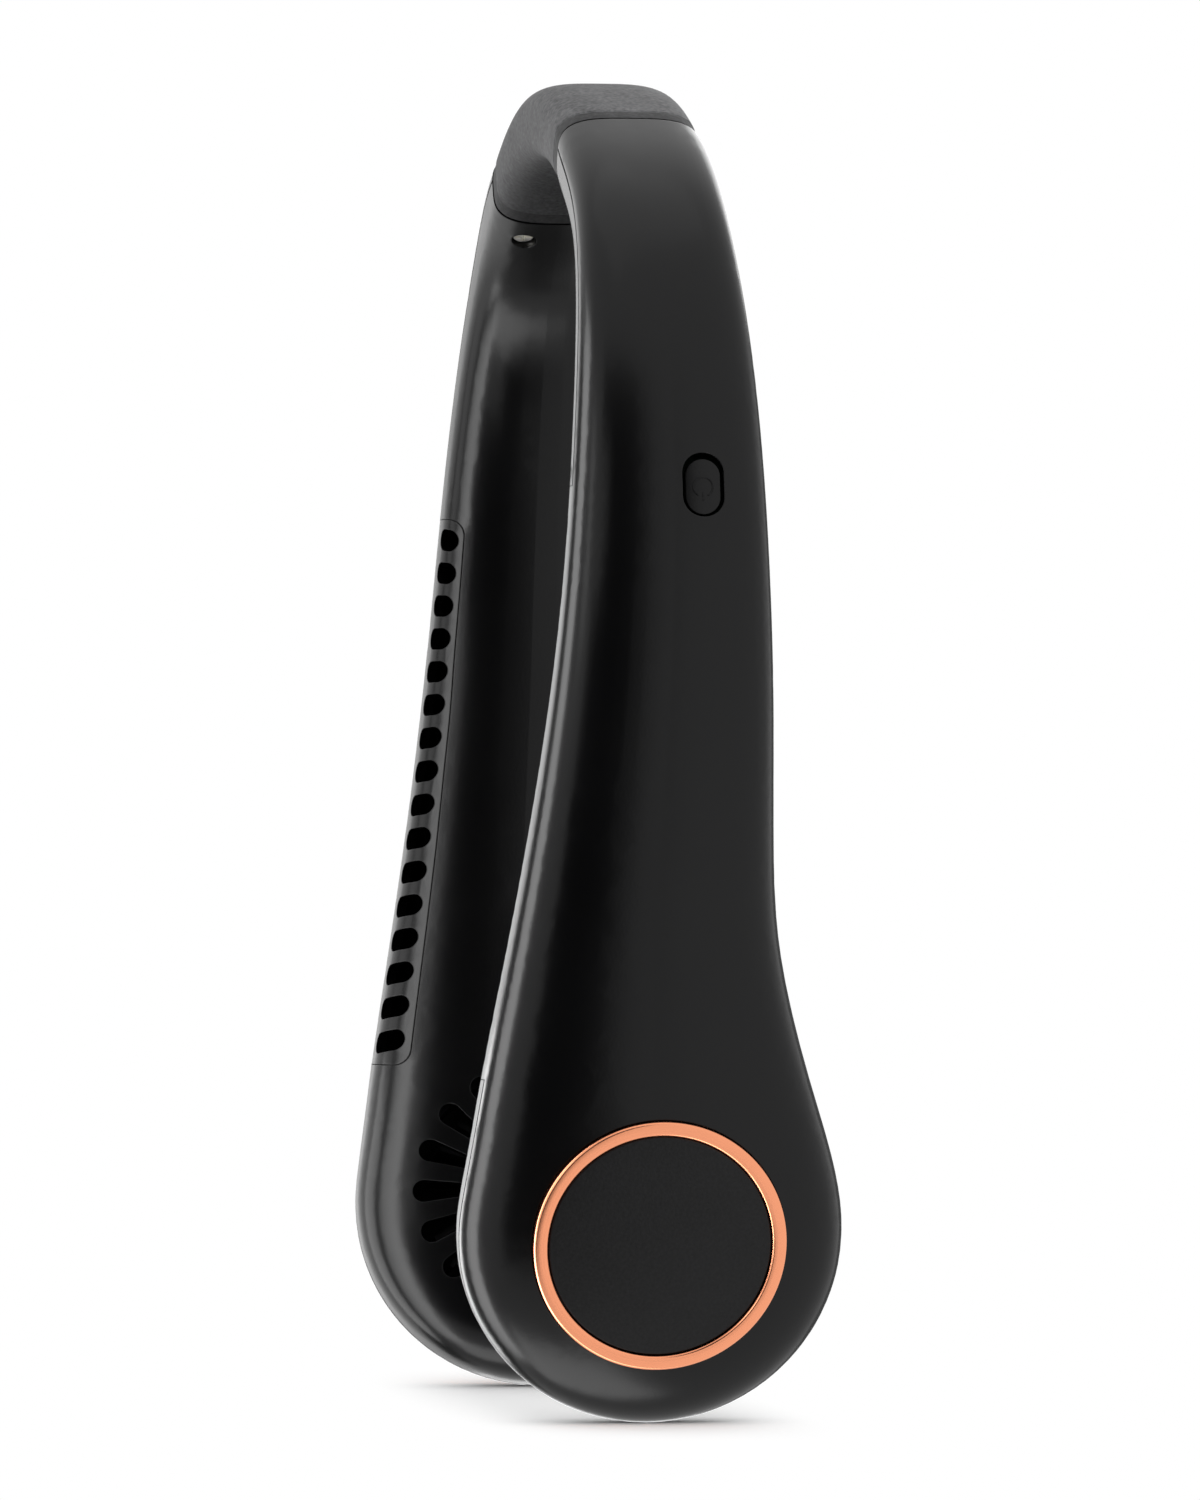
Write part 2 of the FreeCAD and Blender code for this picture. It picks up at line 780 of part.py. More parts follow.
seat_bottom = size("seat_n") - size("seat_plate")
seat = cylinder("seat", COVER_PLACE, size("seat_r"), seat_bottom, size("seat_plate"))
pocket = cylinder("pocket", COVER_PLACE, size("ring_r") + size("seat_room"), size("seat_n"), size("cut_past"))
outer_hollow = cut("outer_hollow", outer_solid, cavity, anchor_blank)
rib_top = size("lower_thick") * 0.5 - size("wall") * 0.5
rib_spans = (size("rib_thick"), size("rib_span"), rib_top - size("cell_thick") * 0.5)
ribs = []
for i, side in enumerate((-1, 1)):
    at = side * num("cell_long") * num("rib_share") - num("rib_thick") / 2
    rib_corner = (at, num("cell_y") - num("rib_span") / 2, num("cell_thick") / 2)
    ribs.append(block("cell_rib_%d" % i, CELL_PLACE, rib_corner, rib_spans))
rib_room = common("cell_ribs", fuse("cell_rib_pair", *ribs), skin)
outlet_set = [outlet_form(i) for i in range(int(num("slot_count")))]
outlets = shape_object("outlets", Part.makeCompound(outlet_set))
outer_base = cut("outer_base", fuse("outer_seated", outer_hollow, seat, rib_room), pocket, outlets)

# Inner shell: hollow, with screw bosses and intake slots round the blower axis


def intake_form():
    """One intake slot: a round outer end that narrows towards the axis."""
    out_r, in_r = num("intake_out_w") / 2, num("intake_in_w") / 2
    far, near = num("intake_out_r") - out_r, num("intake_in_r") + in_r
    tilt = math.asin((out_r - in_r) / (far - near))
    far_x, far_y = far - out_r * math.sin(tilt), out_r * math.cos(tilt)
    near_x, near_y = near - in_r * math.sin(tilt), in_r * math.cos(tilt)
    low = -num("bulb_thick") / 2 - num("intake_deep")
    corners = [Vector(near_x, -near_y, low), Vector(far_x, -far_y, low), Vector(far + out_r, 0, low)]
    corners += [Vector(far_x, far_y, low), Vector(near_x, near_y, low), Vector(near - in_r, 0, low)]
    edges = [Part.LineSegment(corners[0], corners[1]).toShape()]
    edges.append(Part.Arc(corners[1], corners[2], corners[3]).toShape())
    edges.append(Part.LineSegment(corners[3], corners[4]).toShape())
    edges.append(Part.Arc(corners[4], corners[5], corners[0]).toShape())
    return Part.Face(Part.Wire(edges)).extrude(Vector(0, 0, 2 * num("intake_deep")))


intake_count = int(num("intake_count"))
intake_shapes = []
for i in range(intake_count):
    slot = intake_form()
    slot.rotate(Vector(), Vector(0, 0, 1), 360.0 * (i + 0.5) / intake_count)
    intake_shapes.append(slot)
intakes = local("intakes", COVER_PLACE, Part.makeCompound(intake_shapes))

inner_hollow = cut("inner_hollow", inner_solid, cavity, anchor_blank)
boss_pair = common("boss_pair", fuse("boss_blanks", *bosses), skin)
inner_base = cut("inner_base", fuse("inner_with_bosses", inner_hollow, boss_pair), *screw_rooms, intakes)


# Trim ring and cover disc

ring_in = size("ring_r") - size("ring_wide")
ring = turned(
    "ring",
    COVER_PLACE,
    [
        (ring_in, size("seat_n")),
        (size("ring_r"), size("seat_n")),
        (size("ring_r"), size("ring_top_n") - size("ring_bevel")),
        (size("ring_r") - size("ring_bevel"), size("ring_top_n")),
        (ring_in + size("ring_inner_bevel"), size("ring_top_n")),
        (ring_in, size("ring_top_n") - size("ring_inner_bevel")),
    ],
)
disc_r = ring_in - size("disc_room")
disc = turned(
    "disc",
    COVER_PLACE,
    [
        (ZERO, size("seat_n")),
        (disc_r, size("seat_n")),
        (disc_r, size("disc_top_n") - size("disc_bevel")),
        (disc_r - size("disc_bevel"), size("disc_top_n")),
        (ZERO, size("disc_top_n")),
    ],
)
both(ring, "trim_ring")
both(disc, "cover_disc")

# Blower: fixed parts

plate = turned(
    "plate",
    BULB_PLACE,
    [
        (size("bearing_r"), seat_bottom - size("plate_thick")),
        (size("plate_r"), seat_bottom - size("plate_thick")),
        (size("plate_r"), seat_bottom),
        (size("bearing_r"), seat_bottom),
    ],
)
bore = size("shaft_r") + size("shaft_fit")
bearing = turned(
    "bearing",
    BULB_PLACE,
    [
        (bore, size("bearing_low_n")),
        (size("bearing_r"), size("bearing_low_n")),
        (size("bearing_r"), seat_bottom),
        (bore, seat_bottom),
    ],
)
guide_bottom = seat_bottom - size("guide_floor")
guide_wall_in = size("guide_out_r") - size("guide_wall")
guide_full = turned(
    "guide_full",
    BULB_PLACE,
    [
        (size("guide_in_r"), guide_bottom),
        (guide_wall_in, guide_bottom),
        (guide_wall_in, guide_bottom - size("guide_deep")),
        (size("guide_out_r"), guide_bottom - size("guide_deep")),
        (size("guide_out_r"), seat_bottom),
        (size("guide_in_r"), seat_bottom),
    ],
)
gap_wedge = doc.addObject("Part::Cylinder", "guide_opening")
gap_wedge.setExpression("Radius", "Sizes.guide_out_r + Sizes.cut_past")
gap_wedge.setExpression("Height", "Sizes.guide_deep + Sizes.guide_open_past")
gap_wedge.setExpression("Angle", "Sizes.guide_open_deg")
gap_place = FreeCAD.Placement(
    Vector(0, 0, float(guide_bottom) - num("guide_deep") - num("guide_open_past")),
    FreeCAD.Rotation(Vector(0, 0, 1), num("guide_open_from")),
)
gap_wedge.Placement = BULB_PLACE.multiply(gap_place)
guide = cut("guide", guide_full, gap_wedge)

core_past_low = size("core_low_n") - size("bore_past")
core_past_high = size("core_high") + size("bore_past") * 2.0
pole_step = 360.0 / num("pole_count")
hub_full = cylinder("core_hub", BULB_PLACE, size("core_hub_r"), size("core_low_n"), size("core_high"))
shoe_full = cylinder("shoe_full", BULB_PLACE, size("core_r"), size("core_low_n"), size("core_high"))
shoe_bore = cylinder("shoe_bore", BULB_PLACE, size("pole_shoe_r"), core_past_low, core_past_high)
shoe_gaps = []
poles = []
coils = []
coil_low = size("core_low_n") - size("coil_over")
coil_high = size("core_high") + size("coil_over") * 2.0
coil_in = size("core_hub_r") + size("coil_room")
coil_long = size("pole_shoe_r") - coil_in - size("coil_room")
pole_start = (num("bearing_r") + num("core_hub_r")) / 2
for i in range(int(num("pole_count"))):
    turn = i * pole_step
    corner = (pole_start, -num("pole_wide") / 2, num("core_low_n"))
    pole_end = (size("pole_shoe_r") + size("core_r")) * 0.5
    spans = (pole_end - (size("bearing_r") + size("core_hub_r")) * 0.5, size("pole_wide"), size("core_high"))
    poles.append(block("pole_%d" % i, BULB_PLACE, corner, spans, turn))
    gap_corner = (num("core_hub_r"), -num("shoe_gap") / 2, float(core_past_low))
    gap_spans = (size("core_r"), size("shoe_gap"), core_past_high)
    shoe_gaps.append(block("shoe_gap_%d" % i, BULB_PLACE, gap_corner, gap_spans, turn + pole_step / 2))
    coil_corner = (float(coil_in), -num("coil_wide") / 2, float(coil_low))
    coil_spans = (coil_long, size("coil_wide"), coil_high)
    coils.append(block("coil_%d" % i, BULB_PLACE, coil_corner, coil_spans, turn))
shoes = cut("shoes", shoe_full, shoe_bore, *shoe_gaps)
core_solid = fuse("core_solid", hub_full, shoes, *poles)
core_bore = cylinder("core_bore", BULB_PLACE, size("bearing_r"), core_past_low, core_past_high)
core = cut("core", core_solid, core_bore)
joiner_full = cylinder("joiner_full", BULB_PLACE, coil_in + coil_long, coil_low, size("coil_ring"))
joiner_past = size("coil_ring") + size("bore_past") * 2.0
joiner_bore = cylinder("joiner_bore", BULB_PLACE, coil_in, coil_low - size("bore_past"), joiner_past)
joiner = cut("joiner", joiner_full, joiner_bore)
windings = cut("windings", fuse("coil_set", joiner, *coils), core_solid)

both(guide, "air_guide")
both(plate, "motor_board")
both(bearing, "bearing_sleeve")
both(core, "stator_core")
both(windings, "stator_windings")

# Blower: turning parts

magnet_in = size("core_r") + size("magnet_gap")
magnet_out = magnet_in + size("magnet_thick")
cup_r = magnet_out + size("cup_wall")
magnet = turned(
    "magnet",
    BULB_PLACE,
    [
        (magnet_in, size("magnet_low_n")),
        (magnet_out, size("magnet_low_n")),
        (magnet_out, size("cup_top_n")),
        (magnet_in, size("cup_top_n")),
    ],
)
cup = turned(
    "cup",
    BULB_PLACE,
    [
        (size("shaft_r"), size("cup_floor_n")),
        (cup_r, size("cup_floor_n")),
        (cup_r, size("cup_top_n")),
        (magnet_out, size("cup_top_n")),
        (magnet_out, size("cup_floor_n") + size("cup_wall")),
        (size("shaft_r"), size("cup_floor_n") + size("cup_wall")),
    ],
)
shaft_top = seat_bottom - size("shaft_end_gap")
shaft = turned(
    "shaft",
    BULB_PLACE,
    [
        (ZERO, size("cup_floor_n")),
        (size("shaft_r"), size("cup_floor_n")),
        (size("shaft_r"), shaft_top),
        (ZERO, shaft_top),
    ],
)
hub_r = cup_r + size("hub_wall")
hub_low = size("cup_floor_n") - size("hub_floor")
wheel = turned(
    "wheel",
    BULB_PLACE,
    [
        (ZERO, hub_low),
        (hub_r, hub_low),
        (hub_r, size("wheel_top_n") - size("wheel_plate")),
        (size("wheel_r"), size("wheel_top_n") - size("wheel_plate")),
        (size("wheel_r"), size("wheel_top_n")),
        (cup_r, size("wheel_top_n")),
        (cup_r, size("cup_floor_n")),
        (ZERO, size("cup_floor_n")),
    ],
)
blade_step = 360.0 / num("blade_count")
blades = []
for i in range(int(num("blade_count"))):
    lean = math.radians(num("blade_lean"))
    root = num("blade_root")
    start = float(hub_r) - root
    reach = -start * math.cos(lean) + math.sqrt((num("wheel_r") - root) ** 2 - (start * math.sin(lean)) ** 2)
    tall = num("wheel_top_n") - num("wheel_plate") / 2 - num("blade_low_n")
    corner = Vector(0, -num("blade_thick") / 2, num("blade_low_n"))
    form = Part.makeBox(reach, num("blade_thick"), tall, corner)
    form.rotate(Vector(), Vector(0, 0, 1), num("blade_lean"))
    form.translate(Vector(start, 0, 0))
    form.rotate(Vector(), Vector(0, 0, 1), i * blade_step)
    blades.append(form)
blade_set = local("blade_set", BULB_PLACE, Part.makeCompound(blades))
hub_room = cylinder("hub_room", BULB_PLACE, cup_r, size("cup_floor_n"), size("cut_past"))
impeller = cut("impeller", fuse("wheel_blades", wheel, blade_set), hub_room)
both(impeller, "impeller")
both(cup, "rotor_cup")
both(magnet, "ring_magnet")
both(shaft, "motor_shaft")

# Battery cell

cell = new_body("cell", CELL_PLACE)
cell_outline = oblong_corners(ZERO, size("cell_y"), size("cell_long"), size("cell_wide"))
cell_pad = padded(cell, "cell_pad", "XY_Plane", cell_outline, -size("cell_thick") * 0.5, size("cell_thick"))
rounded(cell, cell_pad, "cell_round", size("cell_round"))
both(cell, "battery_cell")

# Right arm only: main board, switch, button, charging socket

board_top = size("board_n") + size("board_thick")
board_left = -size("board_long") * 0.5 - size("board_shift")
board = new_body("board", PANEL_PLACE)
board_right = board_left + size("board_long")
board_outline = [
    (board_left, size("board_low_y")),
    (board_right, size("board_low_y")),
    (board_right, size("board_high_y")),
    (board_left, size("board_high_y")),
]
board_pad = padded(board, "board_pad", "XY_Plane", board_outline, size("board_n"), size("board_thick"))
node(board, "main_board")

switch = new_body("switch", PANEL_PLACE)
switch_outline = oblong_corners(ZERO, size("button_y"), size("switch_wide"), size("switch_wide"))
switch_pad = padded(switch, "switch_pad", "XY_Plane", switch_outline, board_top, size("switch_high"))
rounded(switch, switch_pad, "switch_rounding", size("switch_round"))
switch_top = board_top + size("switch_high")
spot = PANEL_PLACE.multiply(FreeCAD.Placement(Vector(0, num("button_y"), 0), FreeCAD.Rotation()))
plunger_low = switch_top - size("plunger_in") + size("button_travel")
plunger_hole = cylinder(
    "plunger_hole", spot, size("plunger_r") + size("plunger_room"), switch_top - size("plunger_in"),
    size("plunger_in") + size("bore_past"),
)
switch_body = cut("switch_body", switch, plunger_hole)
node(switch_body, "tact_switch")

flange_low = switch_top + size("button_travel") + size("button_clear")
plunger = cylinder("plunger", spot, size("plunger_r"), plunger_low, flange_low - plunger_low)
node(plunger, "switch_plunger")

button = new_body("button", PANEL_PLACE)
flange_over = size("button_flange_over") * 2.0
flange_long, flange_wide = size("button_long") + flange_over, size("button_wide") + flange_over
flange_outline = oblong_corners(size("button_drop"), size("button_y"), flange_long, flange_wide)
flange_pad = padded(button, "flange_pad", "XY_Plane", flange_outline, flange_low, size("button_flange"))
flange_round = rounded(button, flange_pad, "flange_round", flange_wide * size("flange_end_share"))
cap_outline = oblong_corners(size("button_drop"), size("button_y"), size("button_long"), size("button_wide"))
cap_tool = new_body("cap_tool", PANEL_PLACE)
cap_pad = padded(cap_tool, "cap_pad", "XY_Plane", cap_outline, flange_low, size("button_top_n") - flange_low)
rounded(cap_tool, cap_pad, "cap_round", size("button_wide") * size("button_end_share"))
button_solid = fuse("button_solid", button, cap_tool)
node(button_solid, "power_button")

hole = new_body("button_hole", PANEL_PLACE)
hole_long = size("button_long") + size("button_end_room") * 2.0
hole_wide = size("button_wide") + size("button_room") * 2.0
hole_outline = oblong_corners(ZERO, size("button_y"), hole_long, hole_wide)
hole_pad = padded(hole, "hole_pad", "XY_Plane", hole_outline, flange_low, size("cut_past"))
rounded(hole, hole_pad, "hole_round", hole_wide * size("button_end_share"))

socket_middle = size("socket_at")
socket_low = size("board_n") - size("socket_high")


def socket_body(label, grow, back_y, front_y):
    """An oblong tube form that lies along Y under the board."""
    body = new_body(label, PANEL_PLACE)
    left = socket_middle - size("socket_wide") * 0.5 - grow
    right = socket_middle + size("socket_wide") * 0.5 + grow
    low, high = socket_low - grow, size("board_n") + grow
    outline = [(left, low), (right, low), (right, high), (left, high)]
    sketch = polygon(body, label + "_outline", "XZ_Plane", outline)
    sketch.setExpression("AttachmentOffset.Base.z", (-back_y).text)
    pad = body.newObject("PartDesign::Pad", label + "_pad")
    pad.Profile = sketch
    pad.setExpression("Length", (front_y - back_y).text)
    pad.Reversed = True
    doc.recompute()
    lengthwise = []
    for i, edge in enumerate(pad.Shape.Edges):
        direction = edge.Vertexes[-1].Point - edge.Vertexes[0].Point
        if abs(direction.x) + abs(direction.z) < 1e-6:
            lengthwise.append("Edge%d" % (i + 1))
    fillet = body.newObject("PartDesign::Fillet", label + "_round")
    fillet.Base = (pad, lengthwise)
    fillet.setExpression("Radius", ((high - low) * size("socket_end_share")).text)
    return body


socket_back = size("socket_mouth_y") - size("socket_deep")
socket_solid = socket_body("socket_solid", ZERO, socket_back, size("socket_mouth_y"))
socket_end = size("socket_mouth_y") + size("cut_past")
bore_back = socket_back + size("socket_sheet")
socket_bore = socket_body("socket_bore", -size("socket_sheet"), bore_back, socket_end)
socket_room = socket_body("socket_opening", size("socket_room"), socket_back, socket_end)
socket_shell = cut("socket_shell", socket_solid, socket_bore)
node(socket_shell, "charging_socket")

tongue = new_body("tongue", PANEL_PLACE)
tongue_mid = socket_low + size("socket_high") * 0.5
tongue_start = bore_back
tongue_outline = [
    (socket_middle - size("tongue_wide") * 0.5, tongue_start),
    (socket_middle + size("tongue_wide") * 0.5, tongue_start),
    (socket_middle + size("tongue_wide") * 0.5, tongue_start + size("tongue_long")),
    (socket_middle - size("tongue_wide") * 0.5, tongue_start + size("tongue_long")),
]
tongue_low = tongue_mid - size("tongue_thick") * 0.5
padded(tongue, "tongue_pad", "XY_Plane", tongue_outline, tongue_low, size("tongue_thick"))
node(tongue, "socket_tongue")

# Posts that carry the main board, and the shells with the right arm's openings

post_top = size("widest_thick") * 0.5
post_spans = (size("rib_thick"), size("rib_span") - size("post_short") * 2.0, post_top - board_top)
posts = []
for i, at in enumerate((float(board_left), float(board_right) - num("rib_thick"))):
    post_corner = (at, num("button_y") - num("rib_span") / 2 + num("post_short"), float(board_top))
    posts.append(block("board_post_%d" % i, PANEL_PLACE, post_corner, post_spans))
post_set = common("board_posts", fuse("board_post_pair", *posts), skin)
right_outer = cut("right_outer", fuse("outer_posted", outer_base, post_set), hole, socket_room)
right_inner = cut("right_inner", inner_base, socket_room)
node(right_outer, "right_outer_shell")
node(right_inner, "right_inner_shell")
mirrored(outer_base, "left_outer_shell")
mirrored(inner_base, "left_inner_shell")

doc.recompute()

BOOLEANS = ("Part::Cut", "Part::MultiFuse", "Part::MultiCommon", "Part::Mirroring")
for item in doc.Objects:
    if "Invalid" in item.State or "Error" in item.State:
        raise RuntimeError("feature failed: " + item.Name)
    if item.TypeId in BOOLEANS and not item.Shape.Solids:
        raise RuntimeError("no solid left: " + item.Name)
os.makedirs("parts", exist_ok=True)
for label, item in NODES:
    shape = item.Shape
    if shape.isNull() or not shape.isValid() or not shape.Solids:
        raise RuntimeError("shape failed: " + label)
    shape.exportStep("parts/%s.step" % label)
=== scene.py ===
import json
import math

import bmesh
import bpy
from bpy.props import FloatProperty, FloatVectorProperty, IntProperty, PointerProperty
from mathutils import Matrix, Vector


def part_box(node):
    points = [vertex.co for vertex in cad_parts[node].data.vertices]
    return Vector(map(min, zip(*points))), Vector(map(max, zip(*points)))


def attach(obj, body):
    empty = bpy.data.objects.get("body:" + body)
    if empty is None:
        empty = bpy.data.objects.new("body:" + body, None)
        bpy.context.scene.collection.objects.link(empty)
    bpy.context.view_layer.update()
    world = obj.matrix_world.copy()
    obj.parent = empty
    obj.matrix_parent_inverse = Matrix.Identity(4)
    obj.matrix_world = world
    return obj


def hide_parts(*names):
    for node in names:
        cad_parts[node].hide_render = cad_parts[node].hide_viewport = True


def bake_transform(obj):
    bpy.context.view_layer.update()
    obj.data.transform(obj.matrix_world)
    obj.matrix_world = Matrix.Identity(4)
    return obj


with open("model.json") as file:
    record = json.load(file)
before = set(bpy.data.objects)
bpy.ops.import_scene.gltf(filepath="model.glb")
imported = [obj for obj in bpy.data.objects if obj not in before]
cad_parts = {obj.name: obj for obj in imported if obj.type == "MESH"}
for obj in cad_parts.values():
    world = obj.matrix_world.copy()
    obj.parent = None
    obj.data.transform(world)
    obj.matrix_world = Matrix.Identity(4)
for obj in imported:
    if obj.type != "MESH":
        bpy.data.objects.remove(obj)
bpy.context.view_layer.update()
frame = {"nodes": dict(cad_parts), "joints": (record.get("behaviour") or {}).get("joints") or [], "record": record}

bl_info = {
    "name": "Neck fan dressing",
    "version": (1, 0, 0),
    "blender": (4, 5, 0),
    "location": "View3D > Sidebar > Neck fan",
    "description": "Finishes and soft pieces of an electric neck fan, built round its packed frame",
    "category": "Object",
}

# A millimetre in metres, and the direction across the arms
MM = 0.001
ACROSS = Vector((0.0, 1.0, 0.0))

# Band line: from the crown to the seam with an arm, where the line has turned by SEAM_TURN. It bends most at
# the crown if BEND_EARLY is over 1
SEAM_TURN = math.radians(22.47)
BAND_HALF = 37.93 * MM
CROWN_HEIGHT = 204.8 * MM
BEND_EARLY = 1.182

# Band section: a rounded oblong between these edges, less round the larger BAND_SQUARE is
BAND_LOW_Y, BAND_HIGH_Y = -10.6 * MM, 12.0 * MM
BAND_THICK = 13.0 * MM
BAND_SQUARE = 3.5

# Stretch at each end of a half of the band that doesn't bend
UNBENT_END = 2.4 * MM

# Core of the band: the spring strip, which ends before the seam, and the cable, which goes on past it
STRIP_THICK = 0.6 * MM
STRIP_SQUARE = 8
STRIP_SHORT = 3.0 * MM
CABLE_LONG = 12.0 * MM

# Steps that the band's line is added up in, rings along a half and points of a ring
LINE_STEPS = 64
BAND_RINGS, BAND_POINTS = 44, 120
CORE_RINGS, CORE_POINTS = 36, 24

# Steps round the button's two ends, and along the ring of its sign
BUTTON_STEPS = 64
SIGN_STEPS = 64

# Two places closer than this, in metres, count as one
TINY = 1e-7


def linear(hex_colour):
    """An sRGB hex colour as linear RGBA."""
    shares = [int(hex_colour[i:i + 2], 16) / 255 for i in (1, 3, 5)]
    return [s / 12.92 if s <= 0.04045 else ((s + 0.055) / 1.055) ** 2.4 for s in shares] + [1.0]


def smooth(share):
    """A soft step from 0 to 1."""
    share = min(max(share, 0.0), 1.0)
    return share * share * (3 - 2 * share)


# Sizes and colours that a user would change


class NeckFanSizes(bpy.types.PropertyGroup):
    collar_width: FloatProperty(
        name="Collar width", description="Lowered strip of the band beside each arm",
        default=4.0 * MM, unit="LENGTH", precision=5)
    collar_depth: FloatProperty(
        name="Collar depth", description="How far that strip lies under the band's surface",
        default=0.1 * MM, unit="LENGTH", precision=5)
    collar_step: FloatProperty(
        name="Collar step", description="Length over which the band's surface goes down to that strip",
        default=0.3 * MM, unit="LENGTH", precision=5)
    seam_wide: FloatProperty(
        name="Seam width", description="Width of the groove between the band and each arm, on the inside",
        default=0.35 * MM, unit="LENGTH", precision=5)
    seam_open: FloatProperty(
        name="Seam opening", description="How much wider that groove is on the outside",
        default=0.45 * MM, unit="LENGTH", precision=5)
    seam_deep: FloatProperty(
        name="Seam depth", description="Depth of that groove",
        default=0.35 * MM, unit="LENGTH", precision=5)
    end_reach: FloatProperty(
        name="End reach", description="How far the band's end goes on past the seam, up to the arm",
        default=0.11 * MM, unit="LENGTH", precision=5)
    edge_round: FloatProperty(
        name="Edge rounding", description="Rounding of the band's edge at the seam",
        default=0.08 * MM, unit="LENGTH", precision=5)
    ring_wide: FloatProperty(
        name="Ring width", description="Width of the trim ring's face",
        default=2.2 * MM, unit="LENGTH", precision=5)
    ring_chamfer: FloatProperty(
        name="Ring chamfer", description="Slant at the trim ring's outer edge",
        default=0.3 * MM, unit="LENGTH", precision=5)
    ring_bevel: FloatProperty(
        name="Ring inner chamfer", description="Slant at the trim ring's inner edge",
        default=0.25 * MM, unit="LENGTH", precision=5)
    ring_round: FloatProperty(
        name="Ring rounding", description="Rounding of the trim ring's edges",
        default=0.1 * MM, unit="LENGTH", precision=5)
    disc_round: FloatProperty(
        name="Disc rounding", description="Rounding of the cover disc's rim",
        default=0.3 * MM, unit="LENGTH", precision=5)
    button_edge: FloatProperty(
        name="Button edge", description="Rounding of the button's rim",
        default=0.12 * MM, unit="LENGTH", precision=5)
    sign_radius: FloatProperty(
        name="Power sign radius", description="Radius of the raised power sign on the button",
        default=1.5 * MM, unit="LENGTH", precision=5)
    sign_line: FloatProperty(
        name="Power sign line", description="Width of the sign's raised line",
        default=0.3 * MM, unit="LENGTH", precision=5)
    sign_height: FloatProperty(
        name="Power sign height", description="Height of that line over the button",
        default=0.16 * MM, unit="LENGTH", precision=5)
    sign_foot: FloatProperty(
        name="Power sign foot", description="How deep that line's foot is in the button",
        default=0.05 * MM, unit="LENGTH", precision=5)
    sign_gap: FloatProperty(
        name="Power sign gap", description="Half the angle of the opening in the sign's ring",
        default=math.radians(28), subtype="ANGLE")
    stroke_start: FloatProperty(
        name="Stroke start", description="Start of the sign's straight stroke, from the sign's middle",
        default=0.9 * MM, unit="LENGTH", precision=5)
    stroke_length: FloatProperty(
        name="Stroke length", description="Length of that stroke",
        default=1.25 * MM, unit="LENGTH", precision=5)
    round_steps: IntProperty(
        name="Round steps", description="Steps of a full turn on round pieces", default=160, min=24)


class NeckFanColours(bpy.types.PropertyGroup):
    shell: FloatVectorProperty(
        name="Shell", description="Satin moulded ABS of the arms", subtype="COLOR", size=4,
        min=0, max=1, default=linear("#080809"))
    band: FloatVectorProperty(
        name="Band", description="Matte silicone of the neck band", subtype="COLOR", size=4,
        min=0, max=1, default=linear("#585859"))
    disc: FloatVectorProperty(
        name="Disc", description="Spark-textured cover disc", subtype="COLOR", size=4,
        min=0, max=1, default=linear("#141415"))
    ring: FloatVectorProperty(
        name="Ring", description="Copper plating of the trim ring", subtype="COLOR", size=4,
        min=0, max=1, default=linear("#F5A078"))


class NeckFanLook(bpy.types.PropertyGroup):
    sizes: PointerProperty(type=NeckFanSizes)
    colours: PointerProperty(type=NeckFanColours)


def look():
    """The sizes and colours in use."""
    return bpy.context.scene.neck_fan


# Materials

# Wide drift of colour and gloss over a moulding, and the range of drift and grain added up
DRIFT_MM = 18.0
DRIFT_LOW, DRIFT_HIGH = 0.7, 1.3

# Share of the band's colour on the darker collar, in a fleck of lint, and in the seam, where a painted shade
# darkens the groove
COLLAR_SHARE, LINT_SHARE, SEAM_PAINTED_SHADE = 0.45, 1.5, 0.05
SEAM_FADE = 0.05 * MM
LINT_MM = 2.5
LINT_LOW, LINT_HIGH = 0.42, 0.7


def add_node(tree, kind, inputs=None, **settings):
    """Adds a node. An input takes a plain value or another node's output."""
    node = tree.nodes.new(kind)
    for key, value in settings.items():
        setattr(node, key, value)
    for key, value in (inputs or {}).items():
        if isinstance(value, bpy.types.NodeSocket):
            tree.links.new(value, node.inputs[key])
        else:
            node.inputs[key].default_value = value
    return node


def new_material(name):
    """An empty material and its node tree, with the surface shader ready."""
    material = bpy.data.materials.new(name)
    material.use_nodes = True
    return material, material.node_tree, material.node_tree.nodes["Principled BSDF"]


def per_metre(millimetres):
    """Scale of a pattern whose grains are that wide, on Object coordinates in metres."""
    return 1.0 / (millimetres * MM)


def set_shader(shader, colour, roughness, **inputs):
    """Sets the shader's own sockets. An input's name has _ for a space."""
    shader.inputs["Base Color"].default_value = colour
    shader.inputs["Roughness"].default_value = roughness
    for key, value in inputs.items():
        shader.inputs[key.replace("_", " ")].default_value = value


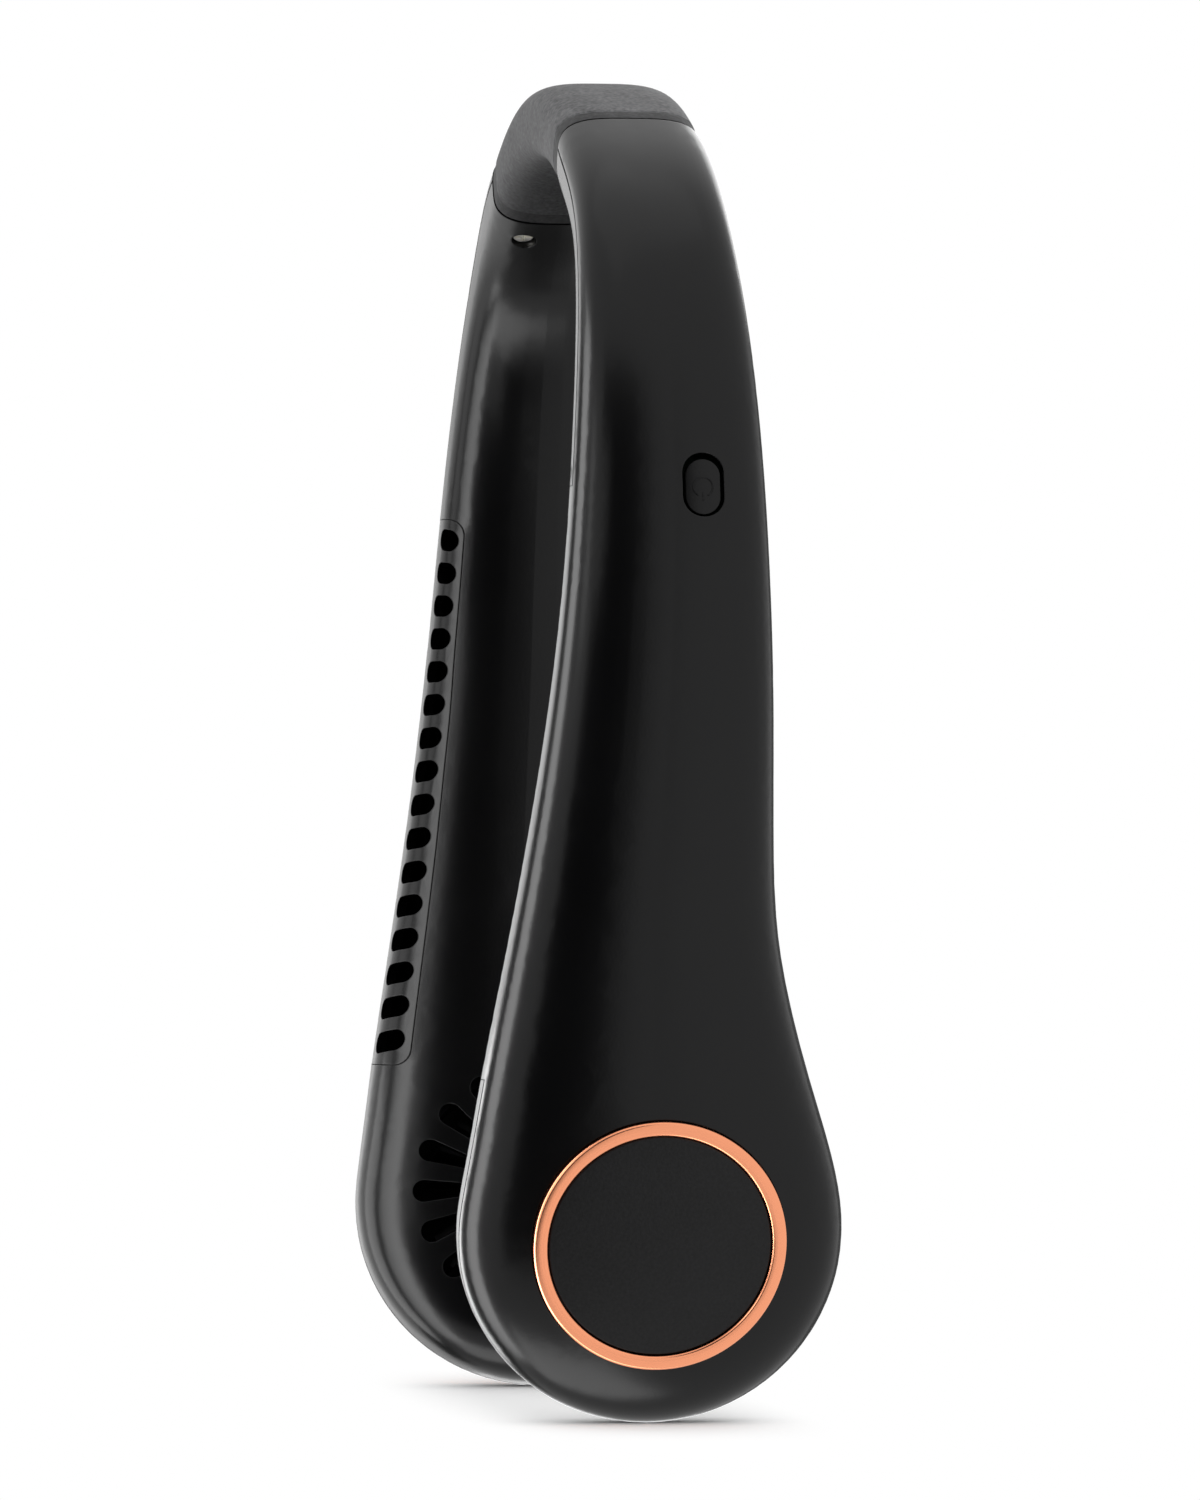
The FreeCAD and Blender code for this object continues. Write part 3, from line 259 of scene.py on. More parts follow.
def grained(name, colour, roughness, grain_mm, depth_mm, edge_mm=0.0, spread=0.05, mottle=0.12, **inputs):
    """A moulded surface: fine grain in its relief, and colour and gloss that drift from place to place."""
    material, tree, shader = new_material(name)
    set_shader(shader, colour, roughness, **inputs)
    place = add_node(tree, "ShaderNodeTexCoord").outputs["Object"]
    grain = add_node(
        tree, "ShaderNodeTexNoise", {"Vector": place, "Scale": per_metre(grain_mm), "Detail": 2.0})
    drift = add_node(
        tree, "ShaderNodeTexNoise", {"Vector": place, "Scale": per_metre(DRIFT_MM), "Detail": 3.0})
    relief = {"Height": grain.outputs["Fac"], "Strength": 1.0, "Distance": depth_mm * MM}
    if edge_mm:
        rim = add_node(tree, "ShaderNodeBevel", {"Radius": edge_mm * MM}, samples=4)
        relief["Normal"] = rim.outputs["Normal"]
    bump = add_node(tree, "ShaderNodeBump", relief)
    gloss = add_node(
        tree, "ShaderNodeMapRange",
        {"Value": drift.outputs["Fac"], "To Min": roughness - spread, "To Max": roughness + spread})
    shades = [[part * share for part in colour[:3]] + [1.0] for share in (1 - mottle, 1 + mottle)]
    both = add_node(
        tree, "ShaderNodeMath", {0: grain.outputs["Fac"], 1: drift.outputs["Fac"]}, operation="ADD")
    share = add_node(
        tree, "ShaderNodeMapRange",
        {"Value": both.outputs[0], "From Min": DRIFT_LOW, "From Max": DRIFT_HIGH})
    tint = add_node(
        tree, "ShaderNodeMix", {0: share.outputs["Result"], 6: shades[0], 7: shades[1]}, data_type="RGBA")
    tree.links.new(tint.outputs[2], shader.inputs["Base Color"])
    tree.links.new(gloss.outputs["Result"], shader.inputs["Roughness"])
    tree.links.new(bump.outputs["Normal"], shader.inputs["Normal"])
    return material


def shell_abs():
    """Injection-moulded ABS, satin: soft wide highlights on black, with a barely seen grain."""
    return grained(
        "ABS black satin moulded", look().colours.shell, roughness=0.23, grain_mm=0.40, depth_mm=0.006,
        edge_mm=0.22, spread=0.03, Specular_IOR_Level=0.26)


def band_silicone():
    """Soft-touch silicone, compression-moulded: matte, greyer than the shells, with a dusty grain.

    The collars beside the arms are drawn darker, and the seam is darkened with a painted shade of the groove. The
    grain is drawn coarser than the real 0.2 mm, which would be lost in a picture of the whole fan."""
    material = grained(
        "Silicone grey matte moulded", look().colours.band, roughness=0.6, grain_mm=0.70, depth_mm=0.07,
        spread=0.08, mottle=0.45, Specular_IOR_Level=0.1)
    tree = material.node_tree
    shader = tree.nodes["Principled BSDF"]
    dusty = shader.inputs["Base Color"].links[0].from_socket
    along = add_node(tree, "ShaderNodeAttribute", attribute_name="along").outputs["Fac"]
    place = add_node(tree, "ShaderNodeTexCoord").outputs["Object"]
    lint = add_node(
        tree, "ShaderNodeTexNoise",
        {"Vector": place, "Scale": per_metre(LINT_MM), "Detail": 8.0, "Roughness": 0.8}).outputs["Fac"]
    collar = BAND_HALF - look().sizes.collar_width
    seam = BAND_HALF - look().sizes.seam_wide
    colour = dusty
    for value, low, high, share in (
        # The collar, drawn darker than the rest of the band
        (along, collar, collar + look().sizes.collar_step, COLLAR_SHARE),
        (lint, LINT_LOW, LINT_HIGH, LINT_SHARE),
        # Painted shade: the band's end in the seam goes nearly black, as the groove's shadow
        (along, seam - SEAM_FADE, seam, SEAM_PAINTED_SHADE),
    ):
        shade = add_node(
            tree, "ShaderNodeMapRange",
            {"Value": value, "From Min": low, "From Max": high, "To Min": 1.0, "To Max": share})
        colour = add_node(
            tree, "ShaderNodeVectorMath", {0: colour, "Scale": shade.outputs["Result"]},
            operation="SCALE").outputs["Vector"]
    tree.links.new(colour, shader.inputs["Base Color"])
    return material


def disc_abs():
    """ABS from a spark-eroded tool: a fine even pebble that breaks the gloss into small specks."""
    # Its strong colour mottle is partly the disc's random tone and partly painted glints standing in for the
    # sparkle
    return grained(
        "ABS black spark-eroded", look().colours.disc, roughness=0.42, grain_mm=0.50, depth_mm=0.03,
        mottle=0.5, Specular_IOR_Level=0.26)


def dull_moulded(name):
    """An inner moulding as it leaves the tool: dull black with a faint grain."""
    return grained(
        name, linear("#0f0f10"), roughness=0.6, grain_mm=0.35, depth_mm=0.008, Specular_IOR_Level=0.12)


def copper_plate(name, axis_place):
    """Copper plating on a turned ring: mirror-like, with fine circular lines from the lathe.

    The lines are drawn 0.25 mm apart, as the real 0.05 mm wouldn't show."""
    line_mm, depth_mm = 0.25, 0.0015
    bright, dull = 0.14, 0.26
    material, tree, shader = new_material(name)
    set_shader(shader, look().colours.ring, (bright + dull) / 2, Metallic=1.0)
    place = add_node(tree, "ShaderNodeTexCoord").outputs["Object"]
    turn = axis_place.to_euler()
    centred = add_node(
        tree, "ShaderNodeMapping",
        {"Vector": place, "Location": axis_place.translation, "Rotation": turn}, vector_type="TEXTURE")
    flat = add_node(
        tree, "ShaderNodeVectorMath", {0: centred.outputs["Vector"], 1: (1.0, 1.0, 0.0)},
        operation="MULTIPLY")
    radius = add_node(tree, "ShaderNodeVectorMath", {0: flat.outputs["Vector"]}, operation="LENGTH")
    lines = add_node(
        tree, "ShaderNodeTexNoise",
        {"W": radius.outputs["Value"], "Scale": per_metre(line_mm), "Detail": 2.0}, noise_dimensions="1D")
    bump = add_node(
        tree, "ShaderNodeBump",
        {"Height": lines.outputs["Fac"], "Strength": 1.0, "Distance": depth_mm * MM})
    gloss = add_node(
        tree, "ShaderNodeMapRange", {"Value": lines.outputs["Fac"], "To Min": bright, "To Max": dull})
    tree.links.new(gloss.outputs["Result"], shader.inputs["Roughness"])
    tree.links.new(bump.outputs["Normal"], shader.inputs["Normal"])
    return material


def metal(name, hex_colour, roughness, grain_mm):
    """A bare metal: gloss broken by fine random tool marks."""
    material, tree, shader = new_material(name)
    set_shader(shader, linear(hex_colour), roughness, Metallic=1.0)
    place = add_node(tree, "ShaderNodeTexCoord").outputs["Object"]
    marks = add_node(
        tree, "ShaderNodeTexNoise", {"Vector": place, "Scale": per_metre(grain_mm), "Detail": 4.0})
    gloss = add_node(
        tree, "ShaderNodeMapRange",
        {"Value": marks.outputs["Fac"], "To Min": roughness * 0.6, "To Max": roughness * 1.4})
    tree.links.new(gloss.outputs["Result"], shader.inputs["Roughness"])
    return material


def circuit_board():
    """Dark green solder mask over glass-fibre board: matte, with the weave showing faintly."""
    material, tree, shader = new_material("Solder mask green on glass fibre")
    light, dark = linear("#0a2415"), linear("#081e11")
    set_shader(shader, light, 0.6, Specular_IOR_Level=0.15)
    place = add_node(tree, "ShaderNodeTexCoord").outputs["Object"]
    weave = add_node(
        tree, "ShaderNodeTexChecker",
        {"Vector": place, "Scale": per_metre(0.8), "Color1": light, "Color2": dark})
    tree.links.new(weave.outputs["Color"], shader.inputs["Base Color"])
    return material


SLOT_MAKERS = {
    "shell_black": shell_abs,
    "silicone": band_silicone,
    "disc_black": disc_abs,
    "nylon": lambda: dull_moulded("Nylon black dull moulded"),
    "inner_plastic": lambda: dull_moulded("ABS black dull moulded"),
    # Pulled through a die: an even, half dull black
    "cable_sheath": lambda: grained(
        "PVC sheath extruded", linear("#181818"), roughness=0.5, grain_mm=0.5, depth_mm=0.006),
    # Plated on a turned head: pale and half bright
    "screw_steel": lambda: metal("Steel nickel-plated", "#eeece6", roughness=0.4, grain_mm=0.4),
    # Rolled between polished rolls: bright grey
    "shaft_steel": lambda: metal("Steel rolled bright", "#b9bbbd", roughness=0.3, grain_mm=0.6),
    # Stamped and stacked: darker grey, dull at the cut edges
    "core_steel": lambda: metal("Silicon steel laminated", "#8b8d90", roughness=0.42, grain_mm=0.3),
    # Pressed from powder: warm brown, open-pored and dull
    "bronze": lambda: metal("Bronze sintered", "#b08646", roughness=0.5, grain_mm=0.2),
    # Drawn and coated: deep red copper with a gloss
    "copper_wire": lambda: metal("Copper wire enamelled", "#b8632f", roughness=0.3, grain_mm=0.25),
    # Pressed and fired: slate grey, dull
    "magnet_dark": lambda: grained(
        "Ferrite sintered", linear("#2b2b2e"), roughness=0.6, grain_mm=0.2, depth_mm=0.01),
    "board_green": circuit_board,
    # Tape wound round the pouch: dull black that covers the foil
    "cell_foil": lambda: grained(
        "Polyester tape black on pouch foil", linear("#121213"), roughness=0.6, grain_mm=0.6, depth_mm=0.006,
        Specular_IOR_Level=0.15),
}
made_materials = {}


def slot_material(slot):
    """The material of a slot, made once."""
    if slot not in made_materials:
        made_materials[slot] = SLOT_MAKERS[slot]()
    return made_materials[slot]


def finish_piece(name, bm, material, sharp_degrees=35.0):
    """Turns a bmesh into a finished object with outward faces and smooth shading between sharp edges."""
    bmesh.ops.remove_doubles(bm, verts=bm.verts, dist=TINY)
    bmesh.ops.recalc_face_normals(bm, faces=bm.faces)
    mesh = bpy.data.meshes.new(name)
    bm.to_mesh(mesh)
    bm.free()
    mesh.materials.append(material)
    for polygon in mesh.polygons:
        polygon.use_smooth = True
    mesh.set_sharp_from_angle(angle=math.radians(sharp_degrees))
    piece = bpy.data.objects.new(name, mesh)
    bpy.context.scene.collection.objects.link(piece)
    return piece


# Places read from the frame


def joint(name):
    """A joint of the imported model."""
    return next(j for j in frame["joints"] if j["name"] == name)


def span(node, direction):
    """Lowest and highest reach of a node along a direction."""
    reaches = [v.co.dot(direction) for v in frame["nodes"][node].data.vertices]
    return min(reaches), max(reaches)


def axis_matrix(origin, out):
    """A place whose Z is the direction out of the loop and whose Y runs across the arm."""
    out = out.normalized()
    down = ACROSS.cross(out)
    matrix = Matrix((down, ACROSS, out)).transposed().to_4x4()
    matrix.translation = origin
    return matrix


def cover_place(side):
    """Place of a cover disc's middle, at the height of the seat, with Z out of the bulb."""
    out = Vector(joint(side + "_impeller_spin")["axis"]).normalized()
    down = ACROSS.cross(out)
    node = side + "_cover_disc"
    origin = out * span(node, out)[0]
    origin += down * (sum(span(node, down)) / 2) + ACROSS * (sum(span(node, ACROSS)) / 2)
    return axis_matrix(origin, out)


def turned(bm, profile, steps):
    """Turns a closed profile of (radius, height) points round Z into a solid ring or disc."""
    verts = [bm.verts.new((radius, 0.0, height)) for radius, height in profile]
    edges = [bm.edges.new((a, b)) for a, b in zip(verts, verts[1:] + verts[:1])]
    bmesh.ops.spin(
        bm, geom=verts + edges, cent=(0, 0, 0), axis=(0, 0, 1), angle=2 * math.pi, steps=steps,
        use_merge=True)


def raise_faces(bm, faces, vec):
    """Extrudes faces along a vector into a solid, with the first faces as its other end."""
    grown = bmesh.ops.extrude_face_region(bm, geom=faces, use_keep_orig=True)["geom"]
    bmesh.ops.translate(
        bm, verts=[item for item in grown if isinstance(item, bmesh.types.BMVert)], vec=vec)


def level_edges(bm, above):
    """Edges above a height that run round at one height and one radius."""
    def is_level(edge):
        first, second = (vert.co for vert in edge.verts)
        round_about = abs(first.xy.length - second.xy.length) < TINY
        return first.z > above and abs(first.z - second.z) < TINY and round_about

    return [edge for edge in bm.edges if is_level(edge)]


def round_edges(bm, edges, radius, segments):
    """Rounds edges off."""
    bmesh.ops.bevel(
        bm, geom=edges, offset=radius, offset_type="OFFSET", segments=segments, profile=0.5,
        affect="EDGES", material=-1)


# Band pieces


def band_turn(distance):
    """How far the band's line has turned at a distance from the crown."""
    share = distance / BAND_HALF
    return SEAM_TURN * share * (BEND_EARLY - (BEND_EARLY - 1) * share)


def band_stop(distance):
    """Point of the band's middle line at a distance from the crown, and how far the line has turned."""
    point = Vector((0.0, 0.0, CROWN_HEIGHT))
    step = distance / LINE_STEPS
    for i in range(LINE_STEPS):
        turn = band_turn((i + 0.5) * step)
        point += Vector((math.cos(turn), 0.0, -math.sin(turn))) * step
    return point, band_turn(distance)


def oblong(angle, square):
    """Point of a rounded oblong with half sides of 1, as (across, out). A larger square is less round."""
    across, out = math.cos(angle), math.sin(angle)
    reach = (abs(across) ** square + abs(out) ** square) ** (-1 / square)
    return across * reach, out * reach


def sweep_half(bm, side, distances, outline, count):
    """Lays closed rings along one half of the band's line and joins them into a tube with closed ends.

    outline(angle, distance) gives a ring's point as (across, out, back), with back towards the crown."""
    along = bm.verts.layers.float.new("along")
    rings = []
    for distance in distances:
        point, turn = band_stop(distance)
        out = Vector((math.sin(turn), 0.0, math.cos(turn)))
        ahead = Vector((math.cos(turn), 0.0, -math.sin(turn)))
        ring = bmesh.ops.create_circle(bm, cap_ends=False, segments=count, radius=1.0)["verts"]
        for vert in ring:
            across, lift, back = outline(math.atan2(vert.co.y, vert.co.x), distance)
            vert.co = point + ACROSS * across + out * lift - ahead * back
            vert.co.x *= side
            vert[along] = distance
        rings.append([e for e in bm.edges if e.verts[0] in ring and e.verts[1] in ring])
    for first, second in zip(rings, rings[1:]):
        bmesh.ops.bridge_loops(bm, edges=first + second)
    for end in (rings[0], rings[-1]):
        bmesh.ops.contextual_create(bm, geom=end)


def blend_half(piece, side):
    """Bakes the half's place into its mesh. Where a bend with the arm would start and end is worked out, but not
    used.
    """
    start, end = band_stop(UNBENT_END)[0], band_stop(BAND_HALF - UNBENT_END)[0]
    start.x *= side
    end.x *= side
    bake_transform(piece)


SIDES = (("right", 1), ("left", -1))


class NECKFAN_OT_carried_nodes(bpy.types.Operator):
    """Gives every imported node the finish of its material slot"""

    bl_idname = "neck_fan.carried_nodes"
    bl_label = "Finish carried nodes"

    def execute(self, context):
        for part in frame["record"]["subparts"]:
            materials = frame["nodes"][part["node"]].data.materials
            materials.clear()
            if part["material_slot"] in SLOT_MAKERS:
                materials.append(slot_material(part["material_slot"]))
        return {"FINISHED"}


class NECKFAN_OT_band(bpy.types.Operator):
    """Silicone neck band in two halves"""

    bl_idname = "neck_fan.band"
    bl_label = "Neck band"

    def execute(self, context):
        sizes = look().sizes
        middle = (BAND_LOW_Y + BAND_HIGH_Y) / 2
        half_wide, half_thick = (BAND_HIGH_Y - BAND_LOW_Y) / 2, BAND_THICK / 2
        seam = BAND_HALF - sizes.seam_wide
        step = BAND_HALF - sizes.collar_width - sizes.collar_step

        def inset(distance):
            """How far the surface lies inside the plain section, in the collar and the seam."""
            collar = sizes.collar_depth * smooth((distance - step) / sizes.collar_step)
            if distance > seam + TINY:
                return collar + sizes.seam_deep
            lip = min(max((seam - distance) / sizes.edge_round, 0.0), 1.0)
            return collar + sizes.edge_round * (1 - math.sqrt(1 - (1 - lip) ** 2))

        def outline(angle, distance):
            across, out = oblong(angle, BAND_SQUARE)
            drawn = inset(distance)
            at_seam = -TINY < distance - seam + sizes.edge_round and distance < BAND_HALF
            back = sizes.seam_open * smooth(out) if at_seam else 0.0
            return middle + across * (half_wide - drawn), out * (half_thick - drawn), back

        # Even rings up to the collar's step, closer ones on the step and on the seam's lip, then a steep
        # wall down into the groove
        plain, wall = step - 1.0 * MM, 0.002 * MM
        distances = [plain * i / BAND_RINGS for i in range(BAND_RINGS + 1)]
        distances += [step - left * MM for left in (0.7, 0.3, 0.05)]
        distances += [step + sizes.collar_step * i / 6 for i in range(7)]
        distances += [BAND_HALF - sizes.collar_width * share for share in (0.975, 0.75, 0.5)]
        distances += [seam - sizes.edge_round * share for share in (1.0, 0.7, 0.4, 0.15, 0.0)]
        distances += [seam + wall, BAND_HALF + sizes.end_reach]
        for side_name, side in SIDES:
            bm = bmesh.new()
            sweep_half(bm, side, distances, outline, BAND_POINTS)
            piece = finish_piece("neck_band_" + side_name, bm, slot_material("silicone"), sharp_degrees=60.0)
            blend_half(piece, side)
            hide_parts("neck_band")
        return {"FINISHED"}


class NECKFAN_OT_band_core(bpy.types.Operator):
    """Spring strip and link cable inside the band, in halves"""

    bl_idname = "neck_fan.band_core"
    bl_label = "Band core"

    def execute(self, context):
        low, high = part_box("band_spring_strip")
        strip_y, strip_half = (low.y + high.y) / 2, (high.y - low.y) / 2
        strip_end = BAND_HALF - STRIP_SHORT
        cable_low, cable_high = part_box("link_cable")
        cable_y, cable_r = (cable_low.y + cable_high.y) / 2, (cable_high.y - cable_low.y) / 2
        cable_end = BAND_HALF + CABLE_LONG

        def strip_outline(angle, distance):
            across, out = oblong(angle, STRIP_SQUARE)
            return strip_y + across * strip_half, out * STRIP_THICK / 2, 0.0

        def cable_outline(angle, distance):
            return cable_y + math.cos(angle) * cable_r, math.sin(angle) * cable_r, 0.0

        for side_name, side in SIDES:
            for node, slot, end, outline in (
                ("band_spring_strip", "shaft_steel", strip_end, strip_outline),
                ("link_cable", "cable_sheath", cable_end, cable_outline),
            ):
                bm = bmesh.new()
                distances = [end * i / CORE_RINGS for i in range(CORE_RINGS + 1)]
                sweep_half(bm, side, distances, outline, CORE_POINTS)
                piece = finish_piece(node + "_" + side_name, bm, slot_material(slot))
                blend_half(piece, side)
                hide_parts(node)
        return {"FINISHED"}


class NECKFAN_OT_covers(bpy.types.Operator):
    """Copper-plated trim ring and textured cover disc on each bulb"""

    bl_idname = "neck_fan.covers"
    bl_label = "Trim rings and cover discs"

    def execute(self, context):
        sizes = look().sizes
        for side_name, _ in SIDES:
            place = cover_place(side_name)
            out = place.col[2].to_3d()
            ring_node, disc_node = side_name + "_trim_ring", side_name + "_cover_disc"
            low, high = span(ring_node, out)
            ring_r = (span(ring_node, ACROSS)[1] - span(ring_node, ACROSS)[0]) / 2
            ring_in = ring_r - sizes.ring_wide
            top = high - low
            slant = sizes.ring_chamfer
            bm = bmesh.new()
            turned(bm, [
                (ring_in, 0.0), (ring_r, 0.0), (ring_r, top - slant), (ring_r - slant, top),
                (ring_in + sizes.ring_bevel, top), (ring_in, top - sizes.ring_bevel)], sizes.round_steps)
            round_edges(bm, level_edges(bm, top / 2), sizes.ring_round, 3)
            bmesh.ops.transform(bm, matrix=place, verts=bm.verts)
            copper = copper_plate("Copper plate turned " + side_name, place)
            piece = finish_piece("trim_ring_" + side_name, bm, copper, sharp_degrees=25.0)
            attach(piece, side_name + "_arm")
            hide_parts(ring_node)

            low, high = span(disc_node, out)
            disc_r = (span(disc_node, ACROSS)[1] - span(disc_node, ACROSS)[0]) / 2
            top = high - low
            bm = bmesh.new()
            bmesh.ops.create_circle(bm, cap_ends=True, segments=sizes.round_steps, radius=disc_r)
            raise_faces(bm, bm.faces[:], (0, 0, top))
            round_edges(bm, level_edges(bm, top / 2), sizes.disc_round, 4)
            bmesh.ops.transform(bm, matrix=place, verts=bm.verts)
            piece = finish_piece(
                "cover_disc_" + side_name, bm, slot_material("disc_black"), sharp_degrees=40.0)
            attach(piece, side_name + "_arm")
            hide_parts(disc_node)
        return {"FINISHED"}


class NECKFAN_OT_button(bpy.types.Operator):
    """Power button with a raised, generic power sign"""

    bl_idname = "neck_fan.button"
    bl_label = "Power button"

    def execute(self, context):
        sizes = look().sizes
        node = "power_button"
        out = -Vector(joint("button_press")["axis"]).normalized()
        down = ACROSS.cross(out)
        low, high = span(node, out)
        # The button's flange is wider, so only what lies near its top counts
        near_top = high - 0.2 * MM
        rim = [v.co for v in frame["nodes"][node].data.vertices if v.co.dot(out) > near_top]
        long_low, long_high = min(c.dot(down) for c in rim), max(c.dot(down) for c in rim)
        wide_low, wide_high = min(c.y for c in rim), max(c.y for c in rim)
        long, wide = long_high - long_low, wide_high - wide_low
        origin = down * (long_low + long_high) / 2 + ACROSS * (wide_low + wide_high) / 2 + out * high
        place = axis_matrix(origin, out)

        bm = bmesh.new()
        ring = bmesh.ops.create_circle(bm, cap_ends=True, segments=BUTTON_STEPS, radius=wide / 2)["verts"]
        for vert in ring:
            vert.co.x += math.copysign((long - wide) / 2, vert.co.x)
            vert.co.z = low - high
        raise_faces(bm, bm.faces[:], (0, 0, high - low))
        top_edges = [e for e in bm.edges if min(v.co.z for v in e.verts) > (low - high) / 2]
        round_edges(bm, top_edges, sizes.button_edge, 5)
        bmesh.ops.transform(bm, matrix=place, verts=bm.verts)
        piece = finish_piece("power_button_cap", bm, slot_material("shell_black"))
        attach(piece, "button")
        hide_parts(node)

        bm = bmesh.new()
        half, height, foot = sizes.sign_line / 2, sizes.sign_height, -sizes.sign_foot
        shoulder = 0.7
        arch = [
            (-half, foot), (-half * shoulder, height * shoulder), (0.0, height),
            (half * shoulder, height * shoulder), (half, foot)]
        verts = [bm.verts.new((sizes.sign_radius + r, 0.0, z)) for r, z in arch]
        face = bm.faces.new(verts)
        bmesh.ops.rotate(bm, verts=verts, cent=(0, 0, 0), matrix=Matrix.Rotation(sizes.sign_gap, 3, "Z"))
        bmesh.ops.spin(
            bm, geom=[face], cent=(0, 0, 0), axis=(0, 0, 1), angle=2 * (math.pi - sizes.sign_gap),
            steps=SIGN_STEPS, use_duplicate=False)
        face = bm.faces.new([bm.verts.new((sizes.stroke_start, r, z)) for r, z in arch])
        raise_faces(bm, [face], (sizes.stroke_length, 0, 0))
        bmesh.ops.transform(bm, matrix=place, verts=bm.verts)
        sign = finish_piece("power_sign", bm, slot_material("shell_black"))
        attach(sign, "button")
        return {"FINISHED"}


# Studio: levels at which 1 is white. A lamp or card has its place in metres, the height on the fan's middle
# line that it faces, its width and height, and its level. A card's level runs from one side to the other
ROOM_LEVEL = 0.95
PAPER_LEVEL = 0.25
PAPER_SEEN = 1.18
FLOOR_HALF = 6.0
# The floor keeps the fan's shadow in an oval and is plain white outside it: the oval's stretch, and the
# distances over which the one turns into the other
SHADOW_OVAL = (0.45, 2.5, 1.0)
SHADOW_NEAR, SHADOW_FAR = 0.03, 0.075
LAMPS = (
    ("upper left", (0.655, -1.049, 0.502), 0.1, 0.36, 0.50, 1.8),
    ("overhead", (0.038, -0.066, 1.197), 0.1, 0.80, 0.80, 0.3),
)
CARDS = (
    ("left strip", (0.0387, -0.155, 0.02), 0.02, 0.0915, 0.46, 4.0, 9.0),
    ("left gap", (-0.097, -0.127, 0.01), 0.01, 0.22, 0.42, 0.25, 0.25),
    ("back panel", (-0.127, -0.0795, 0.07), 0.07, 0.09, 0.30, 1.5, 1.5),
    ("backdrop", (-1.483, 0.222, -0.15), -0.15, 0.48, 1.30, 2.5, 2.5),
    ("far rim", (-0.0654, -0.086, 0.135), 0.135, 0.042, 0.13, 2.0, 2.0),
    ("far rim low", (-0.0654, -0.086, -0.005), -0.005, 0.042, 0.15, 5.0, 5.0),
    ("front flag", (0.851, -0.293, 0.21), 0.21, 0.70, 1.36, 0.02, 0.02),
    ("flag corner", (0.612, -0.513, 0.39), 0.1, 0.34, 0.30, 1.0, 1.0),
    ("back flag", (-0.742, 0.500, 0.006), 0.006, 0.60, 0.90, 0.2, 0.2),
    ("back light", (-0.726, 0.386, 0.466), 0.1, 0.50, 0.36, 2.5, 2.5),
    ("low card", (0.317, -0.183, -0.722), 0.1, 0.60, 0.40, 4.5, 4.5),
    ("under band", (-0.001, 0.0, 0.15), 0.2, 0.045, 0.065, 0.05, 0.05),
)
# A dark sheet that keeps the room's light off the band's underside
SHADE = ("band shade", (-0.001, 0.0, 0.165), 0.2, 0.16, 0.085, 0.0, 0.0)


